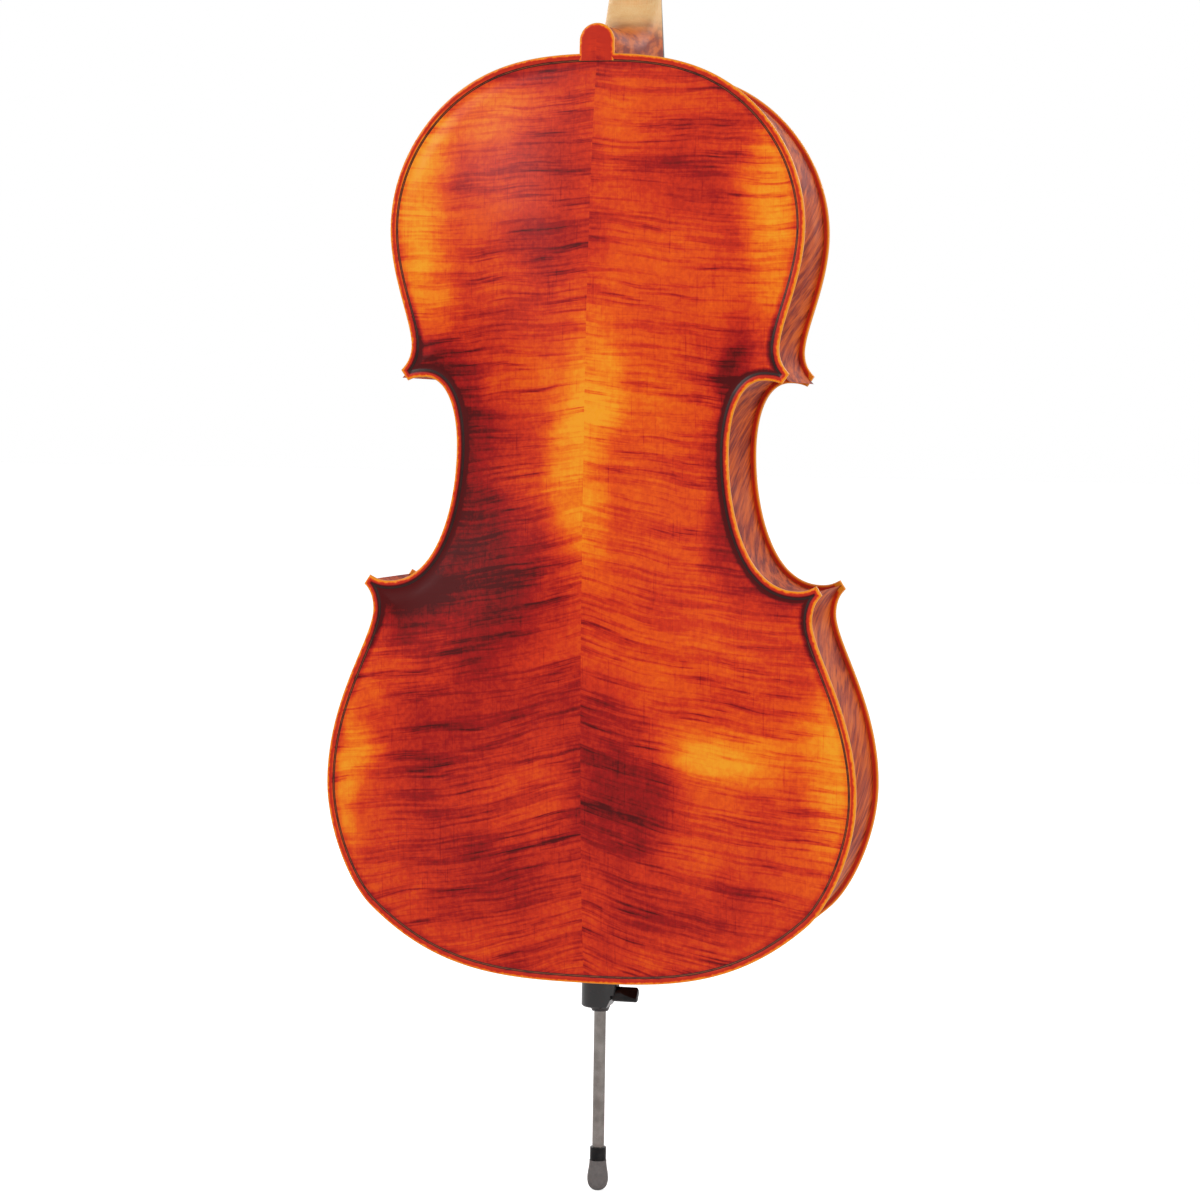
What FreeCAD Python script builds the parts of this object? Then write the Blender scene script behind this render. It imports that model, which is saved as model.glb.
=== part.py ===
import FreeCAD, Part
import math
import os

# A full-size cello, standing upright on its drawn-out endpin.
# Millimetres. X runs from the bass side to the treble side, -Y is the front (the spruce top with
# the strings), +Y is the back, Z is up. The origin is where the endpin's rubber tip meets the floor.
# The endpin is on the line X = Y = 0, halfway between the top and the back.
# "Along the body" heights are measured from the bottom edge of the plates and called rise.

# ---------------------------------------------------------------- driving dimensions: the body
BODY_LENGTH = 755.0
LOWER_BOUT_WIDTH = 445.0
RIB_HEIGHT = 112.0
RIB_THICKNESS = 2.0
EDGE_OVERHANG = 4.5
EDGE_THICKNESS = 4.8
ARCH_HEIGHT = 24.0
PLATE_THICKNESS = 5.5
LINING_THICKNESS = 2.5
LINING_HEIGHT = 13.0
PURFLING_INSET = 5.0
PURFLING_WIDTH = 1.8
PURFLING_DEPTH = 2.0
BUTTON_RADIUS = 14.5
BUTTON_HEIGHT = 24.4
TOP_BLOCK_WIDTH = 110.0
TOP_BLOCK_DEPTH = 34.0
END_BLOCK_WIDTH = 76.0
END_BLOCK_DEPTH = 30.0
BRIDGE_LINE_SHARE = 0.53        # bridge line, from the top edge, as a share of the body length

# ---------------------------------------------------------------- driving dimensions: the endpin
ENDPIN_REACH = 185.0            # floor to the bottom edge of the plates
ROD_RADIUS = 5.0
ROD_LENGTH = 440.0
ROD_RETRACT = 112.0
ROD_EXTEND = 200.0
SOCKET_RADIUS = 15.75
SOCKET_LENGTH = 29.0            # from the plates' bottom edge down
SOCKET_NOSE_RADIUS = 8.5
SOCKET_NOSE_LENGTH = 4.0
PLUG_RADIUS = 12.0
FERRULE_RADIUS = 6.8
FERRULE_LENGTH = 11.3
TIP_RADIUS = 8.8
TIP_LENGTH = 25.3
TIP_FLAT_RADIUS = 3.2
THUMB_SCREW_RADIUS = 6.3
THUMB_SCREW_LENGTH = 21.0
THUMB_THREAD_RADIUS = 3.0

# ---------------------------------------------------------------- driving dimensions: neck and head
NECK_ANGLE = 9.6
OVERSTAND = 22.0                # fingerboard's glue plane above the top's edge, at the body
NECK_STOP = 280.0
FINGERBOARD_LENGTH = 580.0
FINGERBOARD_WIDTH_NUT = 32.0
FINGERBOARD_WIDTH_END = 62.0
FINGERBOARD_SIDE = 5.5
FINGERBOARD_ARC = 62.0
NECK_DEPTH_NUT = 20.0
NECK_DEPTH_HEEL = 23.0
NECK_TENON = 8.0
NUT_LENGTH = 9.0
PEGBOX_LENGTH = 138.0
PEGBOX_WIDTH_NUT = 45.0
PEGBOX_WIDTH_THROAT = 31.0
PEGBOX_CHEEK = 8.0
SCROLL_RADIUS = 33.0
SCROLL_EYE_RADIUS = 8.0
SCROLL_EYE_WIDTH = 66.0
PEG_SHANK_RADIUS = 7.0
PEG_TIP_RADIUS = 5.6
PEG_HEAD_WIDTH = 30.0
PEG_HEAD_THICKNESS = 11.0
PEG_DISH_RADIUS = 70.0          # the hollow ground into both cheeks of a peg's head
PEG_DISH_DEPTH = 2.2
PEG_KNOB_RADIUS = 2.6

# ---------------------------------------------------------------- driving dimensions: strings
STRING_RADII = {"c": 0.90, "g": 0.75, "d": 0.60, "a": 0.50}
NUT_SPACING = 7.3
BRIDGE_SPACING = 15.6
TAILPIECE_SPACING = 14.6
ACTION = {"c": 8.0, "g": 7.0, "d": 6.0, "a": 5.0}
BRIDGE_FOOT_SPREAD = 90.0
BRIDGE_FOOT_THICKNESS = 11.0
BRIDGE_TOP_THICKNESS = 3.0
AFTERLENGTH = 122.0
TAILPIECE_WIDTH_TOP = 66.0
TAILPIECE_WIDTH_END = 38.0
TAILPIECE_ARC = 52.0
TAILPIECE_WALL = 4.5
TAIL_GAP = 12.0
TAIL_GUT_RADIUS = 1.5
SADDLE_WIDTH = 40.0
SADDLE_DEPTH = 9.0
SADDLE_HEIGHT = 10.0            # above the ribs
SOUND_POST_RADIUS = 5.5
BASS_BAR_LENGTH = 560.0
BASS_BAR_THICKNESS = 11.0
BASS_BAR_HEIGHT = 24.0

# ---------------------------------------------------------------- clearances
SHAFT_CLEARANCE = 0.05          # radial, a shaft in its hole
SOFT_CLEARANCE = 0.3            # pieces that pass or lie beside each other without touching
GROOVE_CLEARANCE = 0.1          # a string in its groove

STRINGS = ("c", "g", "d", "a")
STRING_PLACES = {"c": -1.5, "g": -0.5, "d": 0.5, "a": 1.5}

V = FreeCAD.Vector
X_AXIS = V(1, 0, 0)
Y_AXIS = V(0, 1, 0)
Z_AXIS = V(0, 0, 1)

RIB_PLANE = RIB_HEIGHT / 2
EDGE_PLANE = RIB_PLANE + EDGE_THICKNESS
BODY_TOP = ENDPIN_REACH + BODY_LENGTH
BRIDGE_Z = BODY_TOP - BRIDGE_LINE_SHARE * BODY_LENGTH

# The outline is drawn for a body 755 long and 445 wide, and stretched to the sizes above.
DRAWN_LENGTH = 755.0
DRAWN_WIDTH = 445.0


def widen(x):
    """A drawn half-width at this body's width."""
    return x * LOWER_BOUT_WIDTH / DRAWN_WIDTH


def lift(rise):
    """A drawn rise, from the bottom edge, as a height above the floor."""
    return ENDPIN_REACH + rise * BODY_LENGTH / DRAWN_LENGTH


def rise_of(z):
    """The drawn rise of a height above the floor."""
    return (z - ENDPIN_REACH) * DRAWN_LENGTH / BODY_LENGTH


# Half outline of the plates, treble side, as bezier curves that run from the top to the bottom.
UPPER_CURVES = [
    [(0, 755), (42, 755), (80, 751), (113.3, 727.4)],
    [(113.3, 727.4), (149.2, 702.0), (172.5, 660.4), (172.5, 615)],
    [(172.5, 615), (172.5, 575.9), (153.3, 538.8), (153.3, 519)],
    [(153.3, 519), (153.3, 510), (157.0, 504.0), (162, 499)],
]
WAIST_CURVES = [
    [(156, 490.5), (151.8, 492.6), (148.2, 493.4), (141.5, 493.4)],
    [(141.5, 493.4), (122.0, 493.4), (113.5, 466.7), (113.5, 436)],
    [(113.5, 436), (113.5, 392.5), (127.6, 325.4), (171, 325.4)],
    [(171, 325.4), (178.5, 325.4), (181.6, 327.1), (187, 330)],
]
LOWER_CURVES = [
    [(191.8, 322.5), (186.0, 317.3), (183.8, 309.8), (183.8, 302)],
    [(183.8, 302), (183.8, 277.6), (222.5, 226.5), (222.5, 158)],
    [(222.5, 158), (222.5, 118), (202.8, 72.6), (183.7, 55.1)],
    [(183.7, 55.1), (126, 2.3), (69.6, 0), (0, 0)],
]
CURVE_STEPS = 10

# Arching: at each rise, the half-width inside which the plate swells.
ARCH_STATIONS = [
    (12, 60), (50, 158), (100, 197), (158, 211), (230, 197), (290, 171), (330, 140), (375, 111),
    (436, 102), (480, 110), (530, 138), (575, 154), (615, 161), (670, 147), (715, 110), (743, 50),
]
ARCH_START = 12.0
HOLLOW_INSET = 7.0
HOLLOW_START = 37.0


# ================================================================ outline
def bezier(controls, t):
    """Point and direction of travel on a cubic bezier in the body's plane."""
    a, b, c, d = [(widen(x), lift(z)) for x, z in controls]
    s = 1 - t
    point = [s**3 * a[k] + 3 * s * s * t * b[k] + 3 * s * t * t * c[k] + t**3 * d[k] for k in (0, 1)]
    slope = [s * s * (b[k] - a[k]) + 2 * s * t * (c[k] - b[k]) + t * t * (d[k] - c[k]) for k in (0, 1)]
    size = math.hypot(*slope)
    return point, (slope[0] / size, slope[1] / size)


def inset_line(curves, inset):
    """Points along one bout's line, moved into the body by inset."""
    line = []
    for number, controls in enumerate(curves):
        for step in range(0 if number == 0 else 1, CURVE_STEPS + 1):
            (x, z), (along_x, along_z) = bezier(controls, step / CURVE_STEPS)
            line.append((x + along_z * inset, z - along_x * inset))
    return line


def crossing(a, b, c, d):
    """Where segment a-b crosses segment c-d, or None."""
    rx, rz, sx, sz = b[0] - a[0], b[1] - a[1], d[0] - c[0], d[1] - c[1]
    across = rx * sz - rz * sx
    if abs(across) < 1e-12:
        return None
    t = ((c[0] - a[0]) * sz - (c[1] - a[1]) * sx) / across
    u = ((c[0] - a[0]) * rz - (c[1] - a[1]) * rx) / across
    if 0 <= t <= 1 and 0 <= u <= 1:
        return (a[0] + t * rx, a[1] + t * rz)
    return None


def mitre(first, second):
    """Cuts two bout lines back to the corner where they cross."""
    for i in range(len(first) - 2, len(first) // 2, -1):
        for j in range(len(second) // 2):
            corner = crossing(first[i], first[i + 1], second[j], second[j + 1])
            if corner:
                return first[: i + 1] + [corner], [corner] + second[j + 1:]
    raise ValueError("the bout lines don't cross at this inset")


def run_on(line):
    """The same line with a straight end added, long enough to reach the next bout."""
    (x0, z0), (x1, z1) = line[-2:]
    stretch = 14.0 / distance((x0, z0), (x1, z1))
    return line + [(x1 + (x1 - x0) * stretch, z1 + (z1 - z0) * stretch)]


def bout_lines(inset):
    """The upper, waist and lower lines of the treble half, mitred at the corners."""
    upper = run_on(inset_line(UPPER_CURVES, inset))
    waist = run_on(run_on(inset_line(WAIST_CURVES, inset))[::-1])[::-1]
    lower = run_on(inset_line(LOWER_CURVES, inset)[::-1])[::-1]
    upper, waist = mitre(upper, waist)
    waist, lower = mitre(waist, lower)
    upper[0] = (0.0, upper[0][1])
    lower[-1] = (0.0, lower[-1][1])
    return {"upper": upper, "waist": waist, "lower": lower}


def spline_edge(line, y):
    """A smooth edge through the points of a line, on the plane at this y."""
    curve = Part.BSplineCurve()
    points = [V(x, y, z) for k, (x, z) in enumerate(line) if k == 0 or distance(line[k - 1], (x, z)) > 0.6
              or k == len(line) - 1]
    curve.interpolate(points)
    return curve.toShape()


def distance(a, b):
    return math.hypot(a[0] - b[0], a[1] - b[1])


def line_edge(a, b, y):
    return Part.makeLine(V(a[0], y, a[1]), V(b[0], y, b[1]))


def prism(wire_or_edges, depth):
    """A solid swept along +Y from a closed wire."""
    wire = Part.Wire(wire_or_edges) if isinstance(wire_or_edges, list) else wire_or_edges
    return Part.Face(wire).extrude(V(0, depth, 0))


def bout_strip(outer_inset, inner_inset, bout, y, depth):
    """One bout's strip between two insets, such as a rib, a lining or a purfling ply."""
    outer = bout_lines(outer_inset)[bout]
    inner = bout_lines(inner_inset)[bout]
    edges = [
        spline_edge(outer, y),
        line_edge(outer[-1], inner[-1], y),
        spline_edge(inner[::-1], y),
        line_edge(inner[0], outer[0], y),
    ]
    return prism(edges, depth)


def inside_half(inset, y, depth):
    """The whole treble half of the body, inside an inset line."""
    lines = bout_lines(inset)
    edges = [spline_edge(lines[bout], y) for bout in ("upper", "waist", "lower")]
    edges.append(line_edge(lines["lower"][-1], lines["upper"][0], y))
    return prism(edges, depth)


def outline_half(y, depth):
    """The treble half of a plate, out to its edge, with the corners cut square."""
    edges = []
    for curves in (UPPER_CURVES, WAIST_CURVES, LOWER_CURVES):
        if edges:
            start = bezier(curves[0], 0)[0]
            edges.append(line_edge(last, start, y))
        for controls in curves:
            curve = Part.BezierCurve()
            curve.setPoles([V(widen(x), y, lift(z)) for x, z in controls])
            edges.append(curve.toShape())
        last = bezier(curves[-1], 1)[0]
    edges.append(line_edge(last, bezier(UPPER_CURVES[0], 0)[0], y))
    return prism(edges, depth)


def bass_side(shape):
    """The same piece on the bass side."""
    return shape.mirror(V(0, 0, 0), X_AXIS)


def box(x0, x1, y0, y1, z0, z1):
    return Part.makeBox(x1 - x0, y1 - y0, z1 - z0, V(x0, y0, z0))


def rod(radius, start, end):
    """A round bar between two points."""
    return Part.makeCylinder(radius, (end - start).Length, start, end - start)


def largest(shape):
    return max(shape.Solids, key=lambda solid: solid.Volume)


# ================================================================ plates
def arch_half_width(rise, inset):
    """Half-width of the swollen area at this rise, by a smooth curve through the stations."""
    stations = ARCH_STATIONS
    if rise <= stations[0][0]:
        return max(widen(stations[0][1]) - inset, 5.0)
    for k in range(len(stations) - 1):
        (z0, w0), (z1, w1) = stations[k], stations[k + 1]
        if rise <= z1:
            before = stations[max(k - 1, 0)]
            after = stations[min(k + 2, len(stations) - 1)]
            t = (rise - z0) / (z1 - z0)
            m0 = (w1 - before[1]) / (z1 - before[0]) * (z1 - z0)
            m1 = (after[1] - w0) / (after[0] - z0) * (z1 - z0)
            w = ((2 * t**3 - 3 * t**2 + 1) * w0 + (t**3 - 2 * t**2 + t) * m0
                 + (-2 * t**3 + 3 * t**2) * w1 + (t**3 - t**2) * m1)
            return max(widen(w) - inset, 5.0)
    return max(widen(stations[-1][1]) - inset, 5.0)


def arch(x, z, crown, start, inset):
    """Height of the swell at a place on the plate: full at the middle, nothing at the channel."""
    rise = rise_of(z)
    span = DRAWN_LENGTH - 2 * start
    share = abs(2 * (rise - start) / span - 1)
    if share >= 1:
        return 0.0
    across = abs(x) / arch_half_width(rise, inset)
    if across >= 1:
        return 0.0
    return crown * (1 - share**2.6) ** 0.95 * (1 - across**2) ** 1.8


def arch_surface(base, crown, start, inset):
    """The arched surface over the whole plate, as one smooth face."""
    half = widen(DRAWN_WIDTH / 2) + 24
    low, high = ENDPIN_REACH - 24, BODY_TOP + BUTTON_HEIGHT + 24
    columns, rows = 44, 66
    poles = []
    for i in range(columns):
        x = -half + 2 * half * i / (columns - 1)
        heights = [low + (high - low) * j / (rows - 1) for j in range(rows)]
        poles.append([V(x, base + arch(x, z, crown, start, inset), z) for z in heights])
    surface = Part.BSplineSurface()
    across, along = list(range(columns - 2)), list(range(rows - 2))
    surface.buildFromPolesMultsKnots(poles, clamped(across), clamped(along), across, along,
                                     False, False, 3, 3)
    return surface.toShape()


def clamped(knots):
    return [4] + [1] * (len(knots) - 2) + [4]


def under_arch(inset):
    """Everything on the inner side of a plate's hollow, made for the back."""
    sink = 0.6
    crown = ARCH_HEIGHT + EDGE_THICKNESS - PLATE_THICKNESS + sink
    surface = arch_surface(RIB_PLANE - sink, crown, HOLLOW_START, inset)
    return surface.extrude(V(0, -2 * crown, 0))


def plate_half(with_button):
    """Treble half of an arched plate, made as the back: its flat side lies on the rib plane."""
    reach = ARCH_HEIGHT + 12
    blank = outline_half(RIB_PLANE, EDGE_THICKNESS + reach)
    outside = arch_surface(EDGE_PLANE, ARCH_HEIGHT, ARCH_START, 0.0).extrude(V(0, 2 * reach, 0))
    half = largest(blank.cut(outside).cut(under_arch(HOLLOW_INSET)))
    if with_button:
        half = largest(half.fuse(button_half()))
    return largest(half.cut(purfling_strips(PURFLING_DEPTH + 6)))


def button_half():
    """Treble half of the round tab at the top of the back, which the heel is glued to."""
    top = BODY_TOP + BUTTON_HEIGHT
    spring = top - BUTTON_RADIUS
    foot = BODY_TOP - 12
    mid = V(BUTTON_RADIUS * math.sin(math.pi / 4), RIB_PLANE, spring + BUTTON_RADIUS * math.cos(math.pi / 4))
    edges = [
        Part.Arc(V(0, RIB_PLANE, top), mid, V(BUTTON_RADIUS, RIB_PLANE, spring)).toShape(),
        line_edge((BUTTON_RADIUS, spring), (BUTTON_RADIUS, foot), RIB_PLANE),
        line_edge((BUTTON_RADIUS, foot), (0, foot), RIB_PLANE),
        line_edge((0, foot), (0, top), RIB_PLANE),
    ]
    return prism(edges, EDGE_THICKNESS)


def purfling_strips(height):
    """Treble half of the purfling's ring: one strip to each bout, mitred at the corners."""
    floor = EDGE_PLANE - PURFLING_DEPTH
    inner = PURFLING_INSET + PURFLING_WIDTH
    return [bout_strip(PURFLING_INSET, inner, bout, floor, height) for bout in ("upper", "waist", "lower")]


def purfling():
    """The purfling of the back, bent round the whole outline and let into its groove."""
    strips = purfling_strips(PURFLING_DEPTH)
    strips += [bass_side(strip) for strip in strips]
    return largest(strips[0].fuse(strips[1:]).removeSplitter())


def to_front(shape):
    """A piece made for the back, turned over to the top."""
    return shape.mirror(V(0, 0, 0), Y_AXIS)


# ================================================================ f-holes
F_MID_X = 77.0
F_MID_HALF = 3.6
F_TIP_HALF = 1.6
F_UPPER_EYE = (54.0, 46.0, 6.2)
F_LOWER_EYE = (102.0, -47.0, 8.0)
F_NICK = 3.0
F_LINE = [
    [(F_UPPER_EYE[0] - 3, 50), (54, 66), (70, 72), (73, 50)],
    [(73, 50), (75, 34), (75.5, 16), (F_MID_X, 0)],
    [(F_MID_X, 0), (78.5, -18), (79, -36), (82, -51)],
    [(82, -51), (85, -76), (104, -72), (F_LOWER_EYE[0] + 4.5, -51)],
]


def f_hole():
    """The treble f-hole as one tool: a curved stem, two round eyes and the nicks at the bridge line."""
    left, right = [], []
    steps = 8
    for number, controls in enumerate(F_LINE):
        for step in range(0 if number == 0 else 1, steps + 1):
            t = step / steps
            s = 1 - t
            p = [s**3 * controls[0][k] + 3 * s * s * t * controls[1][k] + 3 * s * t * t * controls[2][k]
                 + t**3 * controls[3][k] for k in (0, 1)]
            d = [s * s * (controls[1][k] - controls[0][k]) + 2 * s * t * (controls[2][k] - controls[1][k])
                 + t * t * (controls[3][k] - controls[2][k]) for k in (0, 1)]
            size = math.hypot(*d)
            share = abs((number + t) / 2 - 1)
            half = F_MID_HALF + (F_TIP_HALF - F_MID_HALF) * share**1.5
            offset = (-d[1] / size * half, d[0] / size * half)
            left.append((p[0] + offset[0], p[1] + offset[1]))
            right.append((p[0] - offset[0], p[1] - offset[1]))
    y = -EDGE_PLANE - ARCH_HEIGHT - 10
    depth = ARCH_HEIGHT + EDGE_THICKNESS + 20

    def at_bridge(line):
        return [(x, BRIDGE_Z + z) for x, z in line]

    left, right = at_bridge(left), at_bridge(right)
    edges = [
        spline_edge(left, y),
        line_edge(left[-1], right[-1], y),
        spline_edge(right[::-1], y),
        line_edge(right[0], left[0], y),
    ]
    tool = prism(edges, depth)
    for x, z, radius in (F_UPPER_EYE, F_LOWER_EYE):
        tool = tool.fuse(Part.makeCylinder(radius, depth, V(x, y, BRIDGE_Z + z), Y_AXIS))
    for side in (-1, 1):
        root = F_MID_X + side * (F_MID_HALF - 1)
        tip = F_MID_X + side * (F_MID_HALF + F_NICK)
        corners = [V(root, y, BRIDGE_Z - 2), V(tip, y, BRIDGE_Z), V(root, y, BRIDGE_Z + 2)]
        tool = tool.fuse(prism(Part.makePolygon(corners + corners[:1]), depth))
    return tool


# ================================================================ neck frame
# The neck, fingerboard, nut, pegbox and scroll are made upright in their own frame: the glue plane
# between neck and fingerboard is y = 0, +y is behind it, and z = 0 is where the nut starts.
NECK_TILT = math.radians(NECK_ANGLE)
NUT_PLACE = V(0, -EDGE_PLANE - OVERSTAND + NECK_STOP * math.sin(NECK_TILT),
              BODY_TOP + NECK_STOP * math.cos(NECK_TILT))


def place_on_neck(shape):
    """From the neck's frame to the cello's."""
    shape = shape.copy()
    shape.rotate(V(0, 0, 0), X_AXIS, -NECK_ANGLE)
    shape.translate(NUT_PLACE)
    return shape


def neck_point(x, y, z):
    """A point of the neck's frame, in the cello's."""
    return V(x, y * math.cos(NECK_TILT) + z * math.sin(NECK_TILT),
             -y * math.sin(NECK_TILT) + z * math.cos(NECK_TILT)) + NUT_PLACE


def board_half_width(z):
    """Half-width of the fingerboard at a distance below the nut (z is negative)."""
    share = -z / FINGERBOARD_LENGTH
    return (FINGERBOARD_WIDTH_NUT + (FINGERBOARD_WIDTH_END - FINGERBOARD_WIDTH_NUT) * share) / 2


def board_surface(x, z):
    """Height of the playing surface in front of the glue plane."""
    half = board_half_width(z)
    return FINGERBOARD_SIDE + math.sqrt(FINGERBOARD_ARC**2 - x * x) - math.sqrt(FINGERBOARD_ARC**2 - half**2)


def board_section(z, extra=0.0):
    """Cross-section of the fingerboard: flat below, square sides, arched playing surface."""
    half = board_half_width(z)
    side = FINGERBOARD_SIDE + extra
    crown = board_surface(0, z) + extra
    arc = Part.Arc(V(half, -side, z), V(0, -crown, z), V(-half, -side, z)).toShape()
    return Part.Wire([
        Part.makeLine(V(-half, 0, z), V(half, 0, z)),
        Part.makeLine(V(half, 0, z), V(half, -side, z)),
        arc,
        Part.makeLine(V(-half, -side, z), V(-half, 0, z)),
    ])


def fingerboard():
    return place_on_neck(Part.makeLoft([board_section(0), board_section(-FINGERBOARD_LENGTH)], True, True))


NUT_RISE = 1.0                  # top of the nut over the playing surface
NUT_FALL = 0.6                  # slope of the nut down towards the pegs


def nut(strings):
    """Ebony nut, a little higher than the fingerboard, with a groove for each string."""
    near = board_section(0, NUT_RISE)
    far = board_section(NUT_LENGTH, NUT_RISE - NUT_FALL)
    blank = Part.makeLoft([near, far], True, True)
    blank = place_on_neck(blank)
    for letter in STRINGS:
        blank = blank.cut(strings[letter]["groove"])
    return largest(blank)


# ================================================================ strings
def string_line(letter):
    """Corner points of one string: peg winding, nut, bridge and tailpiece."""
    place = STRING_PLACES[letter]
    radius = STRING_RADII[letter]
    nut_x = place * NUT_SPACING
    bridge_x = place * BRIDGE_SPACING
    nut_y = -(board_surface(nut_x, 0) + NUT_RISE + radius * 0.3)
    share = FINGERBOARD_LENGTH / (BODY_TOP - BRIDGE_Z + NECK_STOP)
    end_x = nut_x + (bridge_x - nut_x) * share
    end_y = -(board_surface(end_x, -FINGERBOARD_LENGTH) + ACTION[letter] + radius)
    at_nut = neck_point(nut_x, nut_y, 0)
    at_end = neck_point(end_x, end_y, -FINGERBOARD_LENGTH)
    reach = (BRIDGE_Z - at_nut.z) / (at_end.z - at_nut.z)
    at_bridge = at_nut + (at_end - at_nut) * reach
    return at_nut, at_bridge


def tail_frame():
    """The tailpiece's line: from the saddle's top edge up to the strings at the bridge."""
    saddle_edge = V(0, -RIB_PLANE - SADDLE_HEIGHT - TAIL_GUT_RADIUS, ENDPIN_REACH + 2)
    crown = string_line("d")[1]
    top = V(0, crown.y, crown.z)
    along = (top - saddle_edge)
    length = along.Length
    along.normalize()
    front = along.cross(X_AXIS)
    if front.y > 0:
        front = front * -1
    return saddle_edge, along, front, length


TAIL_FOOT, TAIL_ALONG, TAIL_FRONT, TAIL_SPAN = tail_frame()
TAILPIECE_LENGTH = TAIL_SPAN - AFTERLENGTH - TAIL_GAP
TAILPIECE_RIM = 3.0             # height of the front surface at the tailpiece's long edges
TAILPIECE_BACK = 5.0            # depth of the long edges behind the tailpiece's line
HOOK_SETBACK = 9.0              # string holes, below the tailpiece's upper end
BALL_RADIUS = 2.3
HOOK_HEIGHT = 3.4               # string line above the tailpiece's surface, at the hooks


def tail_point(x, height, along):
    """A point of the tailpiece's frame: height towards the front, along from its lower end up."""
    return TAIL_FOOT + TAIL_ALONG * (TAIL_GAP + along) + TAIL_FRONT * height + V(x, 0, 0)


def place_on_tail(shape):
    """From an upright frame (x, -y front, z up from the tailpiece's lower end) to the cello's."""
    shape = shape.copy()
    tilt = math.degrees(math.atan2(TAIL_ALONG.y, TAIL_ALONG.z))
    shape.rotate(V(0, 0, 0), X_AXIS, -tilt)
    shape.translate(tail_point(0, 0, 0))
    return shape


def tail_surface(x, along):
    """Height of the tailpiece's front surface over its own line."""
    half = tail_half_width(along)
    return TAILPIECE_RIM + math.sqrt(TAILPIECE_ARC**2 - x * x) - math.sqrt(TAILPIECE_ARC**2 - half**2)


def tail_half_width(along):
    share = along / TAILPIECE_LENGTH
    return (TAILPIECE_WIDTH_END + (TAILPIECE_WIDTH_TOP - TAILPIECE_WIDTH_END) * share) / 2


def string_solid(points, radius):
    """Straight lengths of string joined by a ball at each bend."""
    solid = rod(radius, points[0], points[1])
    for start, end in zip(points[1:-1], points[2:]):
        solid = solid.fuse(Part.makeSphere(radius, start)).fuse(rod(radius, start, end))
    return solid.removeSplitter()


PEG_PLACES = {"c": 21.0, "a": 48.0, "g": 77.0, "d": 104.0}
WINDING_CORE = 6.6              # inside of the turns of string on a peg
WINDING_TURNS = 4
WINDING_SPACING = 6.2           # between neighbouring strings, at the pegs


def pegbox_front(z):
    """The open front of the pegbox at a height above the nut, in the neck's frame."""
    return -4.0 + 19.0 * z / PEGBOX_LENGTH


def pegbox_back(z):
    return 34.0 + 11.0 * z / PEGBOX_LENGTH


def peg_axis(letter):
    """Height above the nut, and depth, of one peg's axis in the neck's frame."""
    z = PEG_PLACES[letter]
    return z, pegbox_front(z) + 13.5


def winding_touch(letter, start_y, start_z):
    """Where a string from the nut comes alongside the front of its winding, in the neck's frame."""
    peg_z, peg_y = peg_axis(letter)
    reach = winding_radius(letter) + STRING_RADII[letter] + SOFT_CLEARANCE
    away = math.hypot(start_z - peg_z, start_y - peg_y)
    towards_nut = math.atan2(start_y - peg_y, start_z - peg_z)
    angle = towards_nut + math.acos(reach / away)
    return peg_y + reach * math.sin(angle), peg_z + reach * math.cos(angle)


def make_strings():
    """The four strings, with the tool that cuts their grooves in the nut and the bridge."""
    strings = {}
    for letter in STRINGS:
        radius = STRING_RADII[letter]
        place = STRING_PLACES[letter]
        at_nut, at_bridge = string_line(letter)
        nut_x = place * NUT_SPACING
        nut_y = -(board_surface(nut_x, 0) + NUT_RISE - NUT_FALL + radius * 0.3)
        nut_back = neck_point(nut_x, nut_y, NUT_LENGTH)
        touch_y, touch_z = winding_touch(letter, nut_y, NUT_LENGTH)
        touch = neck_point(place * WINDING_SPACING, touch_y, touch_z)
        along = TAILPIECE_LENGTH - HOOK_SETBACK
        tail_x = place * TAILPIECE_SPACING
        hook = tail_point(tail_x, tail_surface(tail_x, along) + HOOK_HEIGHT, along)
        way = at_bridge - hook
        way.normalize()
        corners = [touch, nut_back, at_nut, at_bridge, hook - way * 0.6]
        strings[letter] = {
            "solid": string_solid(corners, radius),
            "groove": string_solid(corners, radius + GROOVE_CLEARANCE),
            "at_bridge": at_bridge,
            "hook": hook,
            "way": way,
            "radius": radius,
        }
    return strings


# ================================================================ neck, pegbox and scroll
def neck_section(z, depth):
    """D-shaped section of the neck: flat at the glue plane, half an ellipse behind it."""
    half = board_half_width(z)
    if half >= depth:
        ellipse = Part.Ellipse(V(0, 0, z), half, depth)
        start, end = 0.0, math.pi
    else:
        ellipse = Part.Ellipse(V(0, depth, z), V(half, 0, z), V(0, 0, z))
        start, end = -math.pi / 2, math.pi / 2
    arc = ellipse.toShape(start, end)
    ends = [arc.Vertexes[-1].Point, arc.Vertexes[0].Point]
    return Part.Wire([arc, Part.makeLine(ends[0], ends[1])])


def heel_section(y, half, top, bottom):
    """Arch-shaped section of the heel on a plane of constant y, in the cello's frame."""
    spring = top - half
    edges = [
        Part.Arc(V(half, y, spring), V(0, y, top), V(-half, y, spring)).toShape(),
        Part.makeLine(V(-half, y, spring), V(-half, y, bottom)),
        Part.makeLine(V(-half, y, bottom), V(half, y, bottom)),
        Part.makeLine(V(half, y, bottom), V(half, y, spring)),
    ]
    return Part.Wire(edges)


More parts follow.
